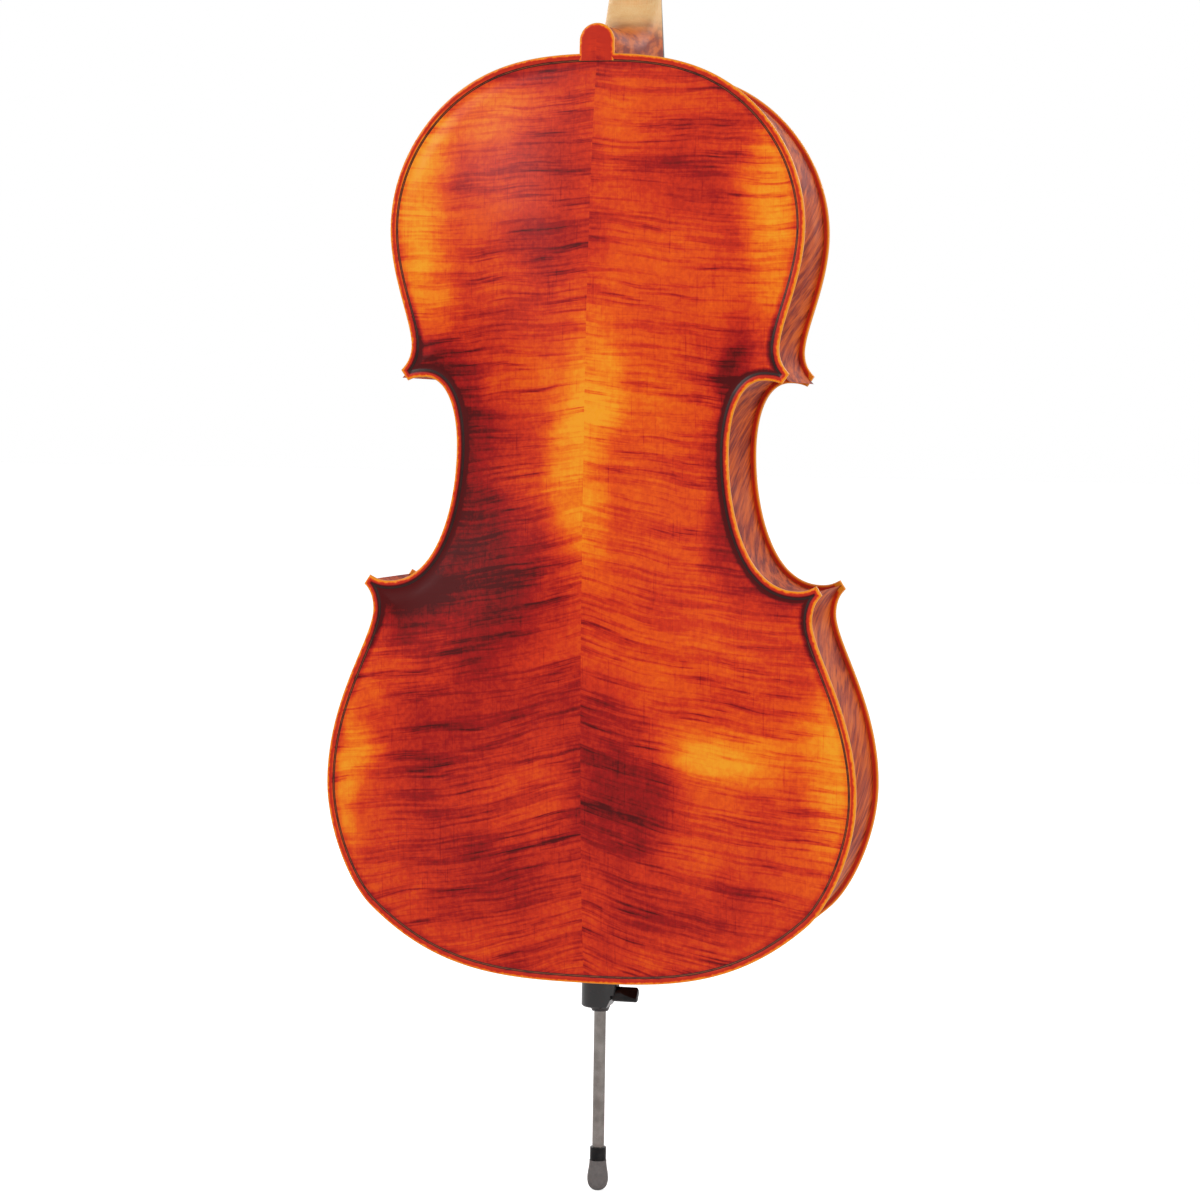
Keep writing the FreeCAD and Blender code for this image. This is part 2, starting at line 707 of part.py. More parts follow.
def heel():
    """The heel: a round-topped foot that runs from the button into the neck."""
    bottom = BODY_TOP - EDGE_OVERHANG - NECK_TENON
    glue = -EDGE_PLANE - OVERSTAND
    half_root = board_half_width(-NECK_STOP)
    top = BODY_TOP + BUTTON_HEIGHT
    span = RIB_PLANE - glue
    stations = [(0.0, 0.0), (0.25, 1.0), (0.47, 4.0), (0.64, 12.0), (0.76, 27.0), (0.88, 50.0), (1.0, 80.0)]
    sections = []
    for share, rise in stations:
        half = BUTTON_RADIUS + (half_root - BUTTON_RADIUS) * share
        sections.append(heel_section(RIB_PLANE - share * span, half, top + rise, bottom))
    return Part.makeLoft(sections, True, False)


SCROLL_DECAY = 0.072            # loss of radius per radian of turn


def scroll_centre():
    """The scroll's eye in the neck's frame."""
    return (pegbox_back(PEGBOX_LENGTH) + 4.0 - SCROLL_RADIUS, PEGBOX_LENGTH + 27.0)


def spiral_slab(first_turn, half_width, shrink):
    """A flat slab whose edge makes one turn of the spiral: from the back, over the top, to the front."""
    y, z = scroll_centre()
    points = []
    steps = 24
    for step in range(steps + 1):
        angle = (first_turn + step / steps) * 2 * math.pi
        radius = shrink * SCROLL_RADIUS * math.exp(-SCROLL_DECAY * angle)
        points.append(V(-half_width, y + radius * math.cos(angle), z + radius * math.sin(angle)))
    curve = Part.BSplineCurve()
    curve.interpolate(points)
    face = Part.Face(Part.Wire([curve.toShape(), Part.makeLine(points[-1], points[0])]))
    return face.extrude(V(2 * half_width, 0, 0))


def pegbox():
    """Pegbox blank: a tapering trough, open at the front, with a hole through it for each peg."""
    eye_y, eye_z = scroll_centre()
    side = [
        V(-30, 0.0, -14), V(-30, 22.0, -14), V(-30, 31, 0), V(-30, 36, 14), V(-30, pegbox_back(60), 60),
        V(-30, pegbox_back(PEGBOX_LENGTH), PEGBOX_LENGTH), V(-30, eye_y + SCROLL_RADIUS, eye_z),
        V(-30, eye_y - 8, eye_z), V(-30, pegbox_front(PEGBOX_LENGTH), PEGBOX_LENGTH),
        V(-30, pegbox_front(NUT_LENGTH), NUT_LENGTH), V(-30, 0.0, NUT_LENGTH),
    ]
    slab = Part.Face(Part.makePolygon(side + side[:1])).extrude(V(60, 0, 0))
    low, high = PEGBOX_WIDTH_NUT / 2, PEGBOX_WIDTH_THROAT / 2
    neck_half = board_half_width(0)
    plan = [
        V(-neck_half, -40, -14), V(neck_half, -40, -14), V(neck_half, -40, 0), V(low, -40, 16),
        V(high, -40, PEGBOX_LENGTH), V(high - 3, -40, eye_z), V(3 - high, -40, eye_z),
        V(-high, -40, PEGBOX_LENGTH), V(-low, -40, 16), V(-neck_half, -40, 0),
    ]
    taper = Part.Face(Part.makePolygon(plan + plan[:1])).extrude(V(0, 120, 0))
    solid = slab.common(taper)
    start, end = NUT_LENGTH + 2.0, PEGBOX_LENGTH - 12
    cheek = PEGBOX_CHEEK
    wide = low - cheek
    narrow = high - cheek + 2
    trough = [
        V(-wide, -40, start), V(wide, -40, start), V(narrow, -40, end), V(-narrow, -40, end),
    ]
    floor = [
        V(-40, -40, start - 5), V(-40, 26, start - 5), V(-40, pegbox_back(end) - 10, end + 5),
        V(-40, -40, end + 5),
    ]
    cavity = Part.Face(Part.makePolygon(trough + trough[:1])).extrude(V(0, 120, 0))
    cavity = cavity.common(Part.Face(Part.makePolygon(floor + floor[:1])).extrude(V(80, 0, 0)))
    return solid.cut(cavity)


def scroll():
    """The volute: three stepped slabs with a spiral edge, and the eye that stands out on each side."""
    y, z = scroll_centre()
    wide = SCROLL_EYE_WIDTH / 2
    solid = spiral_slab(0.0, wide * 0.44, 1.0)
    for turn, share, shrink in ((0.85, 0.66, 0.96), (1.75, 0.86, 0.91)):
        solid = solid.fuse(spiral_slab(turn, wide * share, shrink))
    eye = Part.makeCylinder(SCROLL_EYE_RADIUS, 2 * wide, V(-wide, y, z), X_AXIS)
    return solid.fuse(eye)


def peg_side(letter):
    """+1 where the peg's head is on the treble side, -1 on the bass side."""
    return 1 if letter in ("d", "a") else -1


def pegbox_half_width(z):
    share = (z - 16) / (PEGBOX_LENGTH - 16)
    return (PEGBOX_WIDTH_NUT + (PEGBOX_WIDTH_THROAT - PEGBOX_WIDTH_NUT) * share) / 2


PEG_COLLAR_GAP = 2.5
PEG_TIP_PROUD = 2.0


def peg_shank(letter, clearance):
    """The tapered shank, from the collar to just past the far cheek, in the neck's frame."""
    z, y = peg_axis(letter)
    side = peg_side(letter)
    half = pegbox_half_width(z)
    start = V(side * (half + PEG_COLLAR_GAP + 1.0), y, z)
    length = 2 * half + PEG_COLLAR_GAP + 1.0 + PEG_TIP_PROUD
    shank = Part.makeCone(PEG_SHANK_RADIUS + clearance, PEG_TIP_RADIUS + clearance, length, start,
                          V(-side, 0, 0))
    return shank


def neck_and_scroll():
    """One piece of maple: heel, neck, pegbox and scroll."""
    stations = [0.0, -90.0, -180.0, -NECK_STOP + 30]
    sections = []
    for z in stations:
        share = -z / NECK_STOP
        depth = NECK_DEPTH_NUT + (NECK_DEPTH_HEEL - NECK_DEPTH_NUT) * share
        sections.append(neck_section(z, depth))
    low = -NECK_STOP - (EDGE_OVERHANG + NECK_TENON) / math.cos(NECK_TILT) + 4
    sections.append(neck_section(low, NECK_DEPTH_HEEL))
    shaft = place_on_neck(Part.makeLoft(sections, True, False))
    head = place_on_neck(pegbox().fuse(scroll()))
    foot = heel()
    front = place_on_neck(box(-60, 60, -80, 0, -NECK_STOP - 60, NUT_LENGTH))
    foot = foot.cut(front)
    foot = largest(foot)
    whole = shaft.fuse(foot).fuse(head)
    for letter in STRINGS:
        whole = whole.cut(place_on_neck(peg_shank(letter, SHAFT_CLEARANCE)))
    whole = whole.cut(box(-60, 60, -200, 0, 0, BODY_TOP - EDGE_OVERHANG - NECK_TENON))
    return largest(whole)


def peg(letter):
    """Ebony peg: tapered shank, turned collar and a flat heart-shaped head."""
    z, y = peg_axis(letter)
    side = peg_side(letter)
    half = pegbox_half_width(z)
    out = V(side, 0, 0)
    root = V(side * (half + PEG_COLLAR_GAP), y, z)
    solid = peg_shank(letter, 0.0)
    profile = [(0, 0), (8.0, 0), (9.4, 1.2), (9.4, 3.0), (7.6, 4.2), (6.6, 6.5), (5.6, 10.0), (5.4, 15.0),
               (0, 15.0)]
    outline = [root + out * along + V(0, 0, radius) for radius, along in profile]
    turned = Part.Face(Part.makePolygon(outline + outline[:1])).revolve(root, out, 360)
    solid = solid.fuse(turned)
    heart = Part.BSplineCurve()
    wide = PEG_HEAD_WIDTH / 2
    rim = [(10, 0), (14, 0.55), (20, 0.93), (25, 1.0), (31, 0.86), (36, 0.5), (38, 0)]
    rim = rim + [(along, -share) for along, share in reversed(rim[1:-1])]
    heart.interpolate(Points=[root + out * along + V(0, PEG_HEAD_THICKNESS / 2, wide * share)
                              for along, share in rim], PeriodicFlag=True)
    head = Part.Face(Part.Wire(heart.toShape())).extrude(V(0, -PEG_HEAD_THICKNESS, 0))
    centre = root + out * (10 + wide)
    for way in (-1, 1):
        ball_centre = centre + V(0, way * (PEG_DISH_RADIUS + PEG_HEAD_THICKNESS / 2 - PEG_DISH_DEPTH), 0)
        head = head.cut(Part.makeSphere(PEG_DISH_RADIUS, ball_centre))
    knob = Part.makeSphere(PEG_KNOB_RADIUS, root + out * 39.2)
    stem = Part.makeCone(5.4, 2.9, 16, root + out * 12, out)
    return place_on_neck(solid.fuse(head).fuse(stem).fuse(knob))


def winding_radius(letter):
    """Outside of the turns of one string on its peg."""
    return WINDING_CORE + 2 * STRING_RADII[letter]


def peg_winding(letter):
    """The turns of string round the peg, inside the pegbox, as a ribbed sleeve."""
    z, y = peg_axis(letter)
    radius = STRING_RADII[letter]
    core = WINDING_CORE + radius
    start = STRING_PLACES[letter] * WINDING_SPACING - WINDING_TURNS * radius
    edges = []
    for turn in range(WINDING_TURNS):
        left = start + 2 * turn * radius
        crest = V(left + radius, y, z + core + radius)
        edges.append(Part.Arc(V(left, y, z + core), crest, V(left + 2 * radius, y, z + core)).toShape())
    end = start + 2 * WINDING_TURNS * radius
    edges.append(Part.makeLine(V(end, y, z + core), V(end, y, z)))
    edges.append(Part.makeLine(V(end, y, z), V(start, y, z)))
    edges.append(Part.makeLine(V(start, y, z), V(start, y, z + core)))
    sleeve = Part.Face(Part.Wire(edges)).revolve(V(start, y, z), X_AXIS, 360)
    return place_on_neck(sleeve.cut(peg_shank(letter, 0.0)))


# ================================================================ bridge
def bridge(strings, top_half):
    """Maple bridge: feet fitted to the arching, long legs, kidneys and a heart, thinner at the top."""
    base = -EDGE_PLANE - ARCH_HEIGHT
    feet = BRIDGE_FOOT_SPREAD / 2
    crown = [strings[k]["at_bridge"] for k in STRINGS]
    heights = [base - p.y for p in crown]
    middle = (heights[1] + heights[2]) / 2
    edge = (heights[0] + heights[3]) / 2
    rim = 1.5 * BRIDGE_SPACING + 5.5
    drop = (middle - edge) * (rim / (1.5 * BRIDGE_SPACING)) ** 2
    tilt = (heights[0] - heights[3]) / (3 * BRIDGE_SPACING)
    scale = middle / 88.0

    def spot(x, height, side=1):
        lean = -tilt * x * side * max(0.0, (height - 60) / 28.0)
        return V(x * side, base - (height * scale + lean), BRIDGE_Z)

    def flank(side):
        curve = Part.BSplineCurve()
        curve.interpolate([spot(rim, 88 - drop - 1.5, side), spot(rim + 3.5, 76, side),
                           spot(rim + 1.0, 68, side), spot(24.0, 55, side), spot(23.0, 46, side),
                           spot(29.0, 30, side), spot(33.5, 16, side), spot(feet - 4, 8, side),
                           spot(feet, 5.5, side)])
        return curve

    left, right = flank(-1), flank(1)
    top = Part.Arc(right.StartPoint, spot(0, 88.6), left.StartPoint).toShape()
    arch_curve = Part.BSplineCurve()
    foot_in = feet - 27
    arch_curve.interpolate([spot(foot_in, -10, -1), spot(foot_in, 4, -1), spot(foot_in + 3, 14, -1),
                            spot(14, 27, -1), spot(0, 32), spot(14, 27), spot(foot_in + 3, 14),
                            spot(foot_in, 4), spot(foot_in, -10)])
    edges = [
        top, left.toShape(),
        Part.makeLine(left.EndPoint, spot(feet, -10, -1)),
        Part.makeLine(spot(feet, -10, -1), spot(foot_in, -10, -1)),
        arch_curve.toShape(),
        Part.makeLine(spot(foot_in, -10), spot(feet, -10)),
        Part.makeLine(spot(feet, -10), right.EndPoint),
        right.toShape(),
    ]
    face = Part.Face(Part.Wire(Part.__sortEdges__(edges)))
    solid = face.extrude(V(0, 0, BRIDGE_FOOT_THICKNESS))
    solid.translate(V(0, 0, -BRIDGE_FOOT_THICKNESS / 2))
    for side in (-1, 1):
        kidney = Part.makeCylinder(6.2 * scale, 60, spot(20.5, 63, side) - V(0, 0, 30), Z_AXIS)
        solid = solid.cut(kidney)
        gate = box(min(0, 20 * side), max(0, 20 * side), -1.6, 1.6, -30, 30)
        gate.translate(spot(20.5, 60, side))
        solid = solid.cut(gate)
        lobe = Part.makeCylinder(3.4 * scale, 60, spot(3.2, 56, side) - V(0, 0, 30), Z_AXIS)
        solid = solid.cut(lobe)
    heart = [spot(-6.5, 55) - V(0, 0, 30), spot(6.5, 55) - V(0, 0, 30), spot(0, 46) - V(0, 0, 30)]
    solid = solid.cut(Part.Face(Part.makePolygon(heart + heart[:1])).extrude(V(0, 0, 60)))
    for corner in (spot(0, 63), spot(0, 43)):
        solid = solid.cut(Part.makeCylinder(2.2, 60, corner - V(0, 0, 30), Z_AXIS))
    thin = [
        V(-80, base - 12, BRIDGE_Z + BRIDGE_FOOT_THICKNESS / 2),
        V(-80, base - 120, BRIDGE_Z + BRIDGE_FOOT_THICKNESS / 2
          - (BRIDGE_FOOT_THICKNESS - BRIDGE_TOP_THICKNESS) * 108 / (middle - 12)),
        V(-80, base - 120, BRIDGE_Z + 60), V(-80, base - 12, BRIDGE_Z + 60),
    ]
    solid = solid.cut(Part.Face(Part.makePolygon(thin + thin[:1])).extrude(V(160, 0, 0)))
    for letter in STRINGS:
        solid = solid.cut(strings[letter]["groove"])
    for half in top_half:
        solid = solid.cut(half)
    return largest(solid)


# ================================================================ tailpiece with built-in tuners
PIVOT_SETBACK = 13.0            # lever pivots, below the tailpiece's upper end
PIVOT_DROP = 5.5                # lever pivots, behind the front surface
PIN_RADIUS = 1.2
SLOT_LENGTH = 26.0
LEVER_WIDTH = 6.0
LEVER_THICKNESS = 2.6
LEVER_ARM = 30.0
TUNER_HEAD_RADIUS = 4.6
TUNER_HEAD_LENGTH = 6.0
TUNER_STEM_RADIUS = 1.75
TUNER_TURN_CLEARANCE = 0.3
LEVER_SLIT_CLEARANCE = 0.7      # round the string in the lever's fork, which rocks up to 4 degrees
GUT_SPREAD = 7.5                # the tail gut's two legs, each side of the middle
GUT_HOLE_Y = 1.5
GUT_NUT_RADIUS = 2.6
GUT_NUT_LENGTH = 5.0
HOLLOW_FLOOR = 26.0             # solid lower end of the tailpiece, where the tail gut is held


def tail_section(along, inset):
    """Cross-section of the tailpiece in its upright frame, or of its hollow at this inset."""
    half = tail_half_width(along) - inset
    rim = -(tail_surface(half, along) - inset)
    back = 20.0 if inset else TAILPIECE_BACK
    crown = -(tail_surface(0, along) - inset)
    return Part.Wire([
        Part.makeLine(V(-half, back, along), V(half, back, along)),
        Part.makeLine(V(half, back, along), V(half, rim, along)),
        Part.Arc(V(half, rim, along), V(0, crown, along), V(-half, rim, along)).toShape(),
        Part.makeLine(V(-half, rim, along), V(-half, back, along)),
    ])


def tailpiece():
    """Arched tailpiece, hollow behind, with a slot for each lever and a hole for each tuner's screw."""
    length = TAILPIECE_LENGTH
    blank = Part.makeLoft([tail_section(0, 0), tail_section(length, 0)], True, True)
    low = tail_section(HOLLOW_FLOOR, TAILPIECE_WALL)
    high = tail_section(length - 6, TAILPIECE_WALL)
    hollow = Part.makeLoft([low, high], True, True)
    solid = blank.cut(hollow)
    for letter in STRINGS:
        x = STRING_PLACES[letter] * TAILPIECE_SPACING
        pivot_z = length - PIVOT_SETBACK
        surface = tail_surface(x, pivot_z)
        slot_half = LEVER_WIDTH / 2 + SOFT_CLEARANCE
        slot = box(x - slot_half, x + slot_half, -surface - 10, 20, length - SLOT_LENGTH, length + 5)
        solid = solid.cut(slot)
        for side in (-1, 1):
            ear = box(-2.2, 2.2, -PIVOT_DROP * 0.4, 4.5, -5, 5)
            ear.translate(V(x + side * (slot_half + 2.2), -surface + PIVOT_DROP, pivot_z))
            solid = solid.fuse(ear.common(blank))
        hole_start = V(x - slot_half - 3.4, -surface + PIVOT_DROP, pivot_z)
        solid = solid.cut(Part.makeCylinder(PIN_RADIUS, 2 * (slot_half + 3.4), hole_start, X_AXIS))
        screw_z = pivot_z - LEVER_ARM
        top = tail_surface(x, screw_z)
        boss = Part.makeCylinder(4.0, 6.0, V(x, -top + 1.5, screw_z), Y_AXIS)
        solid = solid.fuse(boss)
        stem_radius = TUNER_STEM_RADIUS + SHAFT_CLEARANCE
        solid = solid.cut(Part.makeCylinder(stem_radius, 40, V(x, -top - 20, screw_z), Y_AXIS))
        pad = Part.makeCylinder(TUNER_HEAD_RADIUS + 1.0, 12, V(x, -top - 11.2, screw_z), Y_AXIS)
        solid = solid.cut(pad)
    for side in (-1, 1):
        solid = solid.cut(Part.makeCylinder(TAIL_GUT_RADIUS + GROOVE_CLEARANCE, 40,
                                            V(side * GUT_SPREAD, GUT_HOLE_Y, -5), Z_AXIS))
    return largest(place_on_tail(solid))


def tuner_lever(letter, hook):
    """Bell-crank lever: a fork that holds the string's ball, a pivot and a long arm under the screw."""
    x = STRING_PLACES[letter] * TAILPIECE_SPACING
    length = TAILPIECE_LENGTH
    pivot_z = length - PIVOT_SETBACK
    surface = tail_surface(x, pivot_z)
    pivot_y = -surface + PIVOT_DROP
    screw_z = pivot_z - LEVER_ARM
    tip_y = screw_tip_y(x, screw_z) + TUNER_TURN_CLEARANCE
    half = LEVER_WIDTH / 2
    hook_z = length - HOOK_SETBACK
    hook_y = -(tail_surface(x, hook_z) + HOOK_HEIGHT)
    profile = [
        V(-half, pivot_y - 3.0, pivot_z - 3.2), V(-half, hook_y - 2.4, hook_z - 3.6),
        V(-half, hook_y - 2.4, hook_z + 4.4), V(-half, pivot_y, pivot_z + 6.5),
        V(-half, pivot_y + 3, pivot_z + 3),
        V(-half, tip_y + LEVER_THICKNESS, screw_z + 4), V(-half, tip_y + LEVER_THICKNESS, screw_z - 4),
        V(-half, tip_y, screw_z - 4), V(-half, tip_y, screw_z + 8), V(-half, pivot_y - 2.0, pivot_z - 5.0),
    ]
    solid = Part.Face(Part.makePolygon(profile + profile[:1])).extrude(V(LEVER_WIDTH, 0, 0))
    solid = solid.cut(Part.makeCylinder(PIN_RADIUS + SHAFT_CLEARANCE, 20, V(-10, pivot_y, pivot_z), X_AXIS))
    solid.translate(V(x, 0, 0))
    solid = place_on_tail(solid)
    seat = Part.makeSphere(BALL_RADIUS, hook["hook"]).fuse(
        Part.makeCylinder(BALL_RADIUS, 12, hook["hook"], TAIL_FRONT))
    slit_radius = hook["radius"] + LEVER_SLIT_CLEARANCE
    slit = rod(slit_radius, hook["hook"], hook["hook"] + hook["way"] * 12)
    return largest(solid.cut(seat).cut(slit))


def ball_end(hook):
    """The ball at a string's end, drilled for the string."""
    ball = Part.makeSphere(BALL_RADIUS, hook["hook"])
    bore = rod(hook["radius"] + 0.3, hook["hook"] - hook["way"] * 1.6, hook["hook"] + hook["way"] * 6)
    return ball.cut(bore)


def screw_tip_y(x, screw_z):
    """Where a tuner's screw ends, behind the front surface."""
    return -tail_surface(x, screw_z) + 10.5


def tuner_screw(letter):
    """Knurled tuner screw that pushes the lever's long arm."""
    x = STRING_PLACES[letter] * TAILPIECE_SPACING
    screw_z = TAILPIECE_LENGTH - PIVOT_SETBACK - LEVER_ARM
    top = tail_surface(x, screw_z)
    tip = screw_tip_y(x, screw_z)
    head_y = -top - 2.2
    solid = Part.makeCylinder(TUNER_STEM_RADIUS, tip - head_y, V(x, head_y, screw_z), Y_AXIS)
    head_start = V(x, head_y - TUNER_HEAD_LENGTH, screw_z)
    head = Part.makeCylinder(TUNER_HEAD_RADIUS, TUNER_HEAD_LENGTH, head_start, Y_AXIS)
    ridges = 16
    for k in range(ridges):
        angle = 2 * math.pi * k / ridges
        at = V(x + TUNER_HEAD_RADIUS * math.cos(angle), head_y - TUNER_HEAD_LENGTH - 1,
               screw_z + TUNER_HEAD_RADIUS * math.sin(angle))
        head = head.cut(Part.makeCylinder(0.45, TUNER_HEAD_LENGTH + 2, at, Y_AXIS))
    return place_on_tail(solid.fuse(head))


def tuner_pins():
    """The four short pivot pins of the levers."""
    pins = []
    pivot_z = TAILPIECE_LENGTH - PIVOT_SETBACK
    for letter in STRINGS:
        x = STRING_PLACES[letter] * TAILPIECE_SPACING
        reach = LEVER_WIDTH / 2 + SOFT_CLEARANCE + 3.4
        y = -tail_surface(x, pivot_z) + PIVOT_DROP
        pins.append(Part.makeCylinder(PIN_RADIUS, 2 * reach, V(x - reach, y, pivot_z), X_AXIS))
    return place_on_tail(Part.makeCompound(pins))


# ================================================================ tail gut and saddle
def rounded_path(points, radii):
    """Straight runs joined by tangent arcs; radii gives one radius for each inner point."""
    edges = []
    start = points[0]
    for k in range(1, len(points) - 1):
        before, corner, after = points[k - 1], points[k], points[k + 1]
        back = (before - corner).normalize()
        ahead = (after - corner).normalize()
        turn = math.pi - back.getAngle(ahead)
        reach = radii[k - 1] * math.tan(turn / 2)
        enter = corner + back * reach
        leave = corner + ahead * reach
        bisector = (back + ahead).normalize()
        centre = corner + bisector * (radii[k - 1] / math.cos(turn / 2))
        middle = centre - bisector * radii[k - 1]
        if (enter - start).Length > 1e-4:
            edges.append(Part.makeLine(start, enter))
        edges.append(Part.Arc(enter, middle, leave).toShape())
        start = leave
    edges.append(Part.makeLine(start, points[-1]))
    return Part.Wire(edges)


GUT_LOOP_Z = ENDPIN_REACH - TAIL_GUT_RADIUS - 1.0
SADDLE_BEND = 5.0
GUT_BEND = SADDLE_BEND + TAIL_GUT_RADIUS + GROOVE_CLEARANCE


def tail_gut():
    """The cord that ties the tailpiece down: one loop over the saddle and round the endpin's socket."""
    loop = SOCKET_RADIUS + TAIL_GUT_RADIUS + GROOVE_CLEARANCE
    front_y = -RIB_PLANE - SADDLE_HEIGHT - TAIL_GUT_RADIUS - GROOVE_CLEARANCE
    shoulder = V(GUT_SPREAD, front_y, GUT_LOOP_Z)
    away = math.hypot(shoulder.x, shoulder.y)
    towards = math.atan2(-shoulder.y, -shoulder.x)
    heading = towards - math.asin(loop / away)
    reach = (loop - shoulder.y) / math.sin(heading)
    corner = V(shoulder.x + reach * math.cos(heading), loop, GUT_LOOP_Z)
    hole = tail_in_cello(GUT_SPREAD, GUT_HOLE_Y, 0)
    inner = tail_in_cello(GUT_SPREAD, GUT_HOLE_Y, HOLLOW_FLOOR + 3)

    def other(p):
        return V(-p.x, p.y, p.z)

    points = [inner, hole, shoulder, corner, other(corner), other(shoulder), other(hole), other(inner)]
    slack = [30.0, GUT_BEND, loop, loop, GUT_BEND, 30.0]
    path = rounded_path(points, slack)
    start = inner
    way = (hole - inner).normalize()
    section = Part.Wire(Part.makeCircle(TAIL_GUT_RADIUS, start, way))
    return path.makePipeShell([section], True, False)


def tail_in_cello(x, y, z):
    """A point of the tailpiece's upright frame, in the cello's."""
    return tail_point(x, -y, z)


def tail_gut_nuts():
    """Two small brass nuts that hold the tail gut's ends inside the tailpiece."""
    nuts = []
    for side in (-1, 1):
        nut_solid = Part.makeCylinder(GUT_NUT_RADIUS, GUT_NUT_LENGTH,
                                      V(side * GUT_SPREAD, GUT_HOLE_Y, HOLLOW_FLOOR), Z_AXIS)
        hole = Part.makeCylinder(TAIL_GUT_RADIUS + 0.02, 30,
                                 V(side * GUT_SPREAD, GUT_HOLE_Y, HOLLOW_FLOOR - 9), Z_AXIS)
        nuts.append(place_on_tail(nut_solid.cut(hole)))
    return Part.makeCompound(nuts)


def saddle_blank():
    """The saddle's block, also the notch that it needs in the top plate."""
    return box(-SADDLE_WIDTH / 2, SADDLE_WIDTH / 2, -RIB_PLANE - SADDLE_HEIGHT, -RIB_PLANE,
               ENDPIN_REACH - 1.0, ENDPIN_REACH - 1.0 + SADDLE_DEPTH)


def saddle(gut):
    """Ebony saddle let into the top's lower edge, rounded where the tail gut bends over it."""
    block = saddle_blank()
    round_edge = [e for e in block.Edges
                  if abs(e.CenterOfMass.y + RIB_PLANE + SADDLE_HEIGHT) < 1e-6
                  and abs(e.CenterOfMass.z - ENDPIN_REACH + 1.0) < 1e-6]
    block = block.makeFillet(SADDLE_BEND, round_edge)
    return largest(block.cut(gut))


# ================================================================ endpin
def endpin_socket():
    """Turned socket: a plug in the end block, a drum below the body and a nose the rod slides in."""
    rib_face = ENDPIN_REACH + EDGE_OVERHANG
    drum_bottom = ENDPIN_REACH - SOCKET_LENGTH
    nose_bottom = drum_bottom - SOCKET_NOSE_LENGTH
    plug_top = rib_face + RIB_THICKNESS + END_BLOCK_DEPTH
    profile = [
        (0, nose_bottom), (SOCKET_NOSE_RADIUS - 1.5, nose_bottom), (SOCKET_NOSE_RADIUS, drum_bottom),
        (SOCKET_RADIUS - 1.0, drum_bottom), (SOCKET_RADIUS, drum_bottom + 1.0), (SOCKET_RADIUS, rib_face),
        (PLUG_RADIUS, rib_face), (PLUG_RADIUS - 1.0, plug_top), (0, plug_top),
    ]
    outline = [V(radius, 0, z) for radius, z in profile]
    solid = Part.Face(Part.makePolygon(outline + outline[:1])).revolve(V(0, 0, 0), Z_AXIS, 360)
    screw_z = thumb_screw_z()
    solid = solid.cut(Part.makeCylinder(ROD_RADIUS + SHAFT_CLEARANCE, 400, V(0, 0, 0), Z_AXIS))
    thread = Part.makeCylinder(THUMB_THREAD_RADIUS + SHAFT_CLEARANCE, 60, V(0, 0, screw_z), V(-1, 0, 0))
    solid = solid.cut(thread)
    pocket = Part.makeCylinder(THUMB_SCREW_RADIUS + 1.2, 30, V(-SCREW_SEAT, 0, screw_z), V(-1, 0, 0))
    solid = solid.cut(pocket)
    wedge = [V(-SCREW_SEAT, -30, screw_z), V(-SCREW_SEAT, -30, screw_z - 4),
             V(-SCREW_SEAT + 5, -30, nose_bottom - 1), V(-40, -30, nose_bottom - 1), V(-40, -30, screw_z)]
    wedge = Part.Face(Part.makePolygon(wedge + wedge[:1])).extrude(V(0, 60, 0))
    drum_only = Part.makeCylinder(SOCKET_RADIUS + 1, drum_bottom - nose_bottom + SOCKET_LENGTH,
                                  V(0, 0, nose_bottom), Z_AXIS)
    nose = Part.makeCylinder(SOCKET_NOSE_RADIUS, 60, V(0, 0, nose_bottom), Z_AXIS)
    return largest(solid.cut(wedge.common(drum_only).cut(nose)))


SCREW_SEAT = 11.0


def thumb_screw_z():
    return ENDPIN_REACH - SOCKET_LENGTH + THUMB_SCREW_RADIUS + 4.2


def endpin_thumb_screw():
    """Thumb screw that clamps the rod: threaded shank, round neck and two flats for the fingers."""
    z = thumb_screw_z()
    start = -ROD_RADIUS - 0.15
    solid = Part.makeCylinder(THUMB_THREAD_RADIUS, 12, V(start, 0, z), V(-1, 0, 0))
    knob_start = -SCREW_SEAT - SOFT_CLEARANCE
    knob = Part.makeCylinder(THUMB_SCREW_RADIUS, THUMB_SCREW_LENGTH, V(knob_start, 0, z), V(-1, 0, 0))
    rim = [e for e in knob.Edges if abs(e.CenterOfMass.x - knob_start + THUMB_SCREW_LENGTH) < 1e-6]
    knob = knob.makeFillet(2.0, rim)
    end = knob_start - THUMB_SCREW_LENGTH
    for way in (-1, 1):
        flat = [V(knob_start - 6, way * THUMB_SCREW_RADIUS, 0), V(end - 1, way * 2.6, 0),
                V(end - 1, way * 20, 0), V(knob_start - 6, way * 20, 0)]
        flat = Part.Face(Part.makePolygon(flat + flat[:1])).extrude(V(0, 0, 40))
        flat.translate(V(0, 0, z - 20))
        flat.rotate(V(0, 0, z), X_AXIS, 40)
        knob = knob.cut(flat)
    return solid.fuse(knob)


def rod_bottom():
    return TIP_LENGTH + FERRULE_LENGTH


def endpin_rod():
    """Steel rod with chamfered ends; its foot goes down into the rubber tip."""
    foot = TIP_LENGTH - 12.0
    solid = Part.makeCylinder(ROD_RADIUS, ROD_LENGTH, V(0, 0, foot), Z_AXIS)
    ends = [e for e in solid.Edges if e.Curve.TypeId == "Part::GeomCircle"]
    return solid.makeChamfer(0.8, ends)


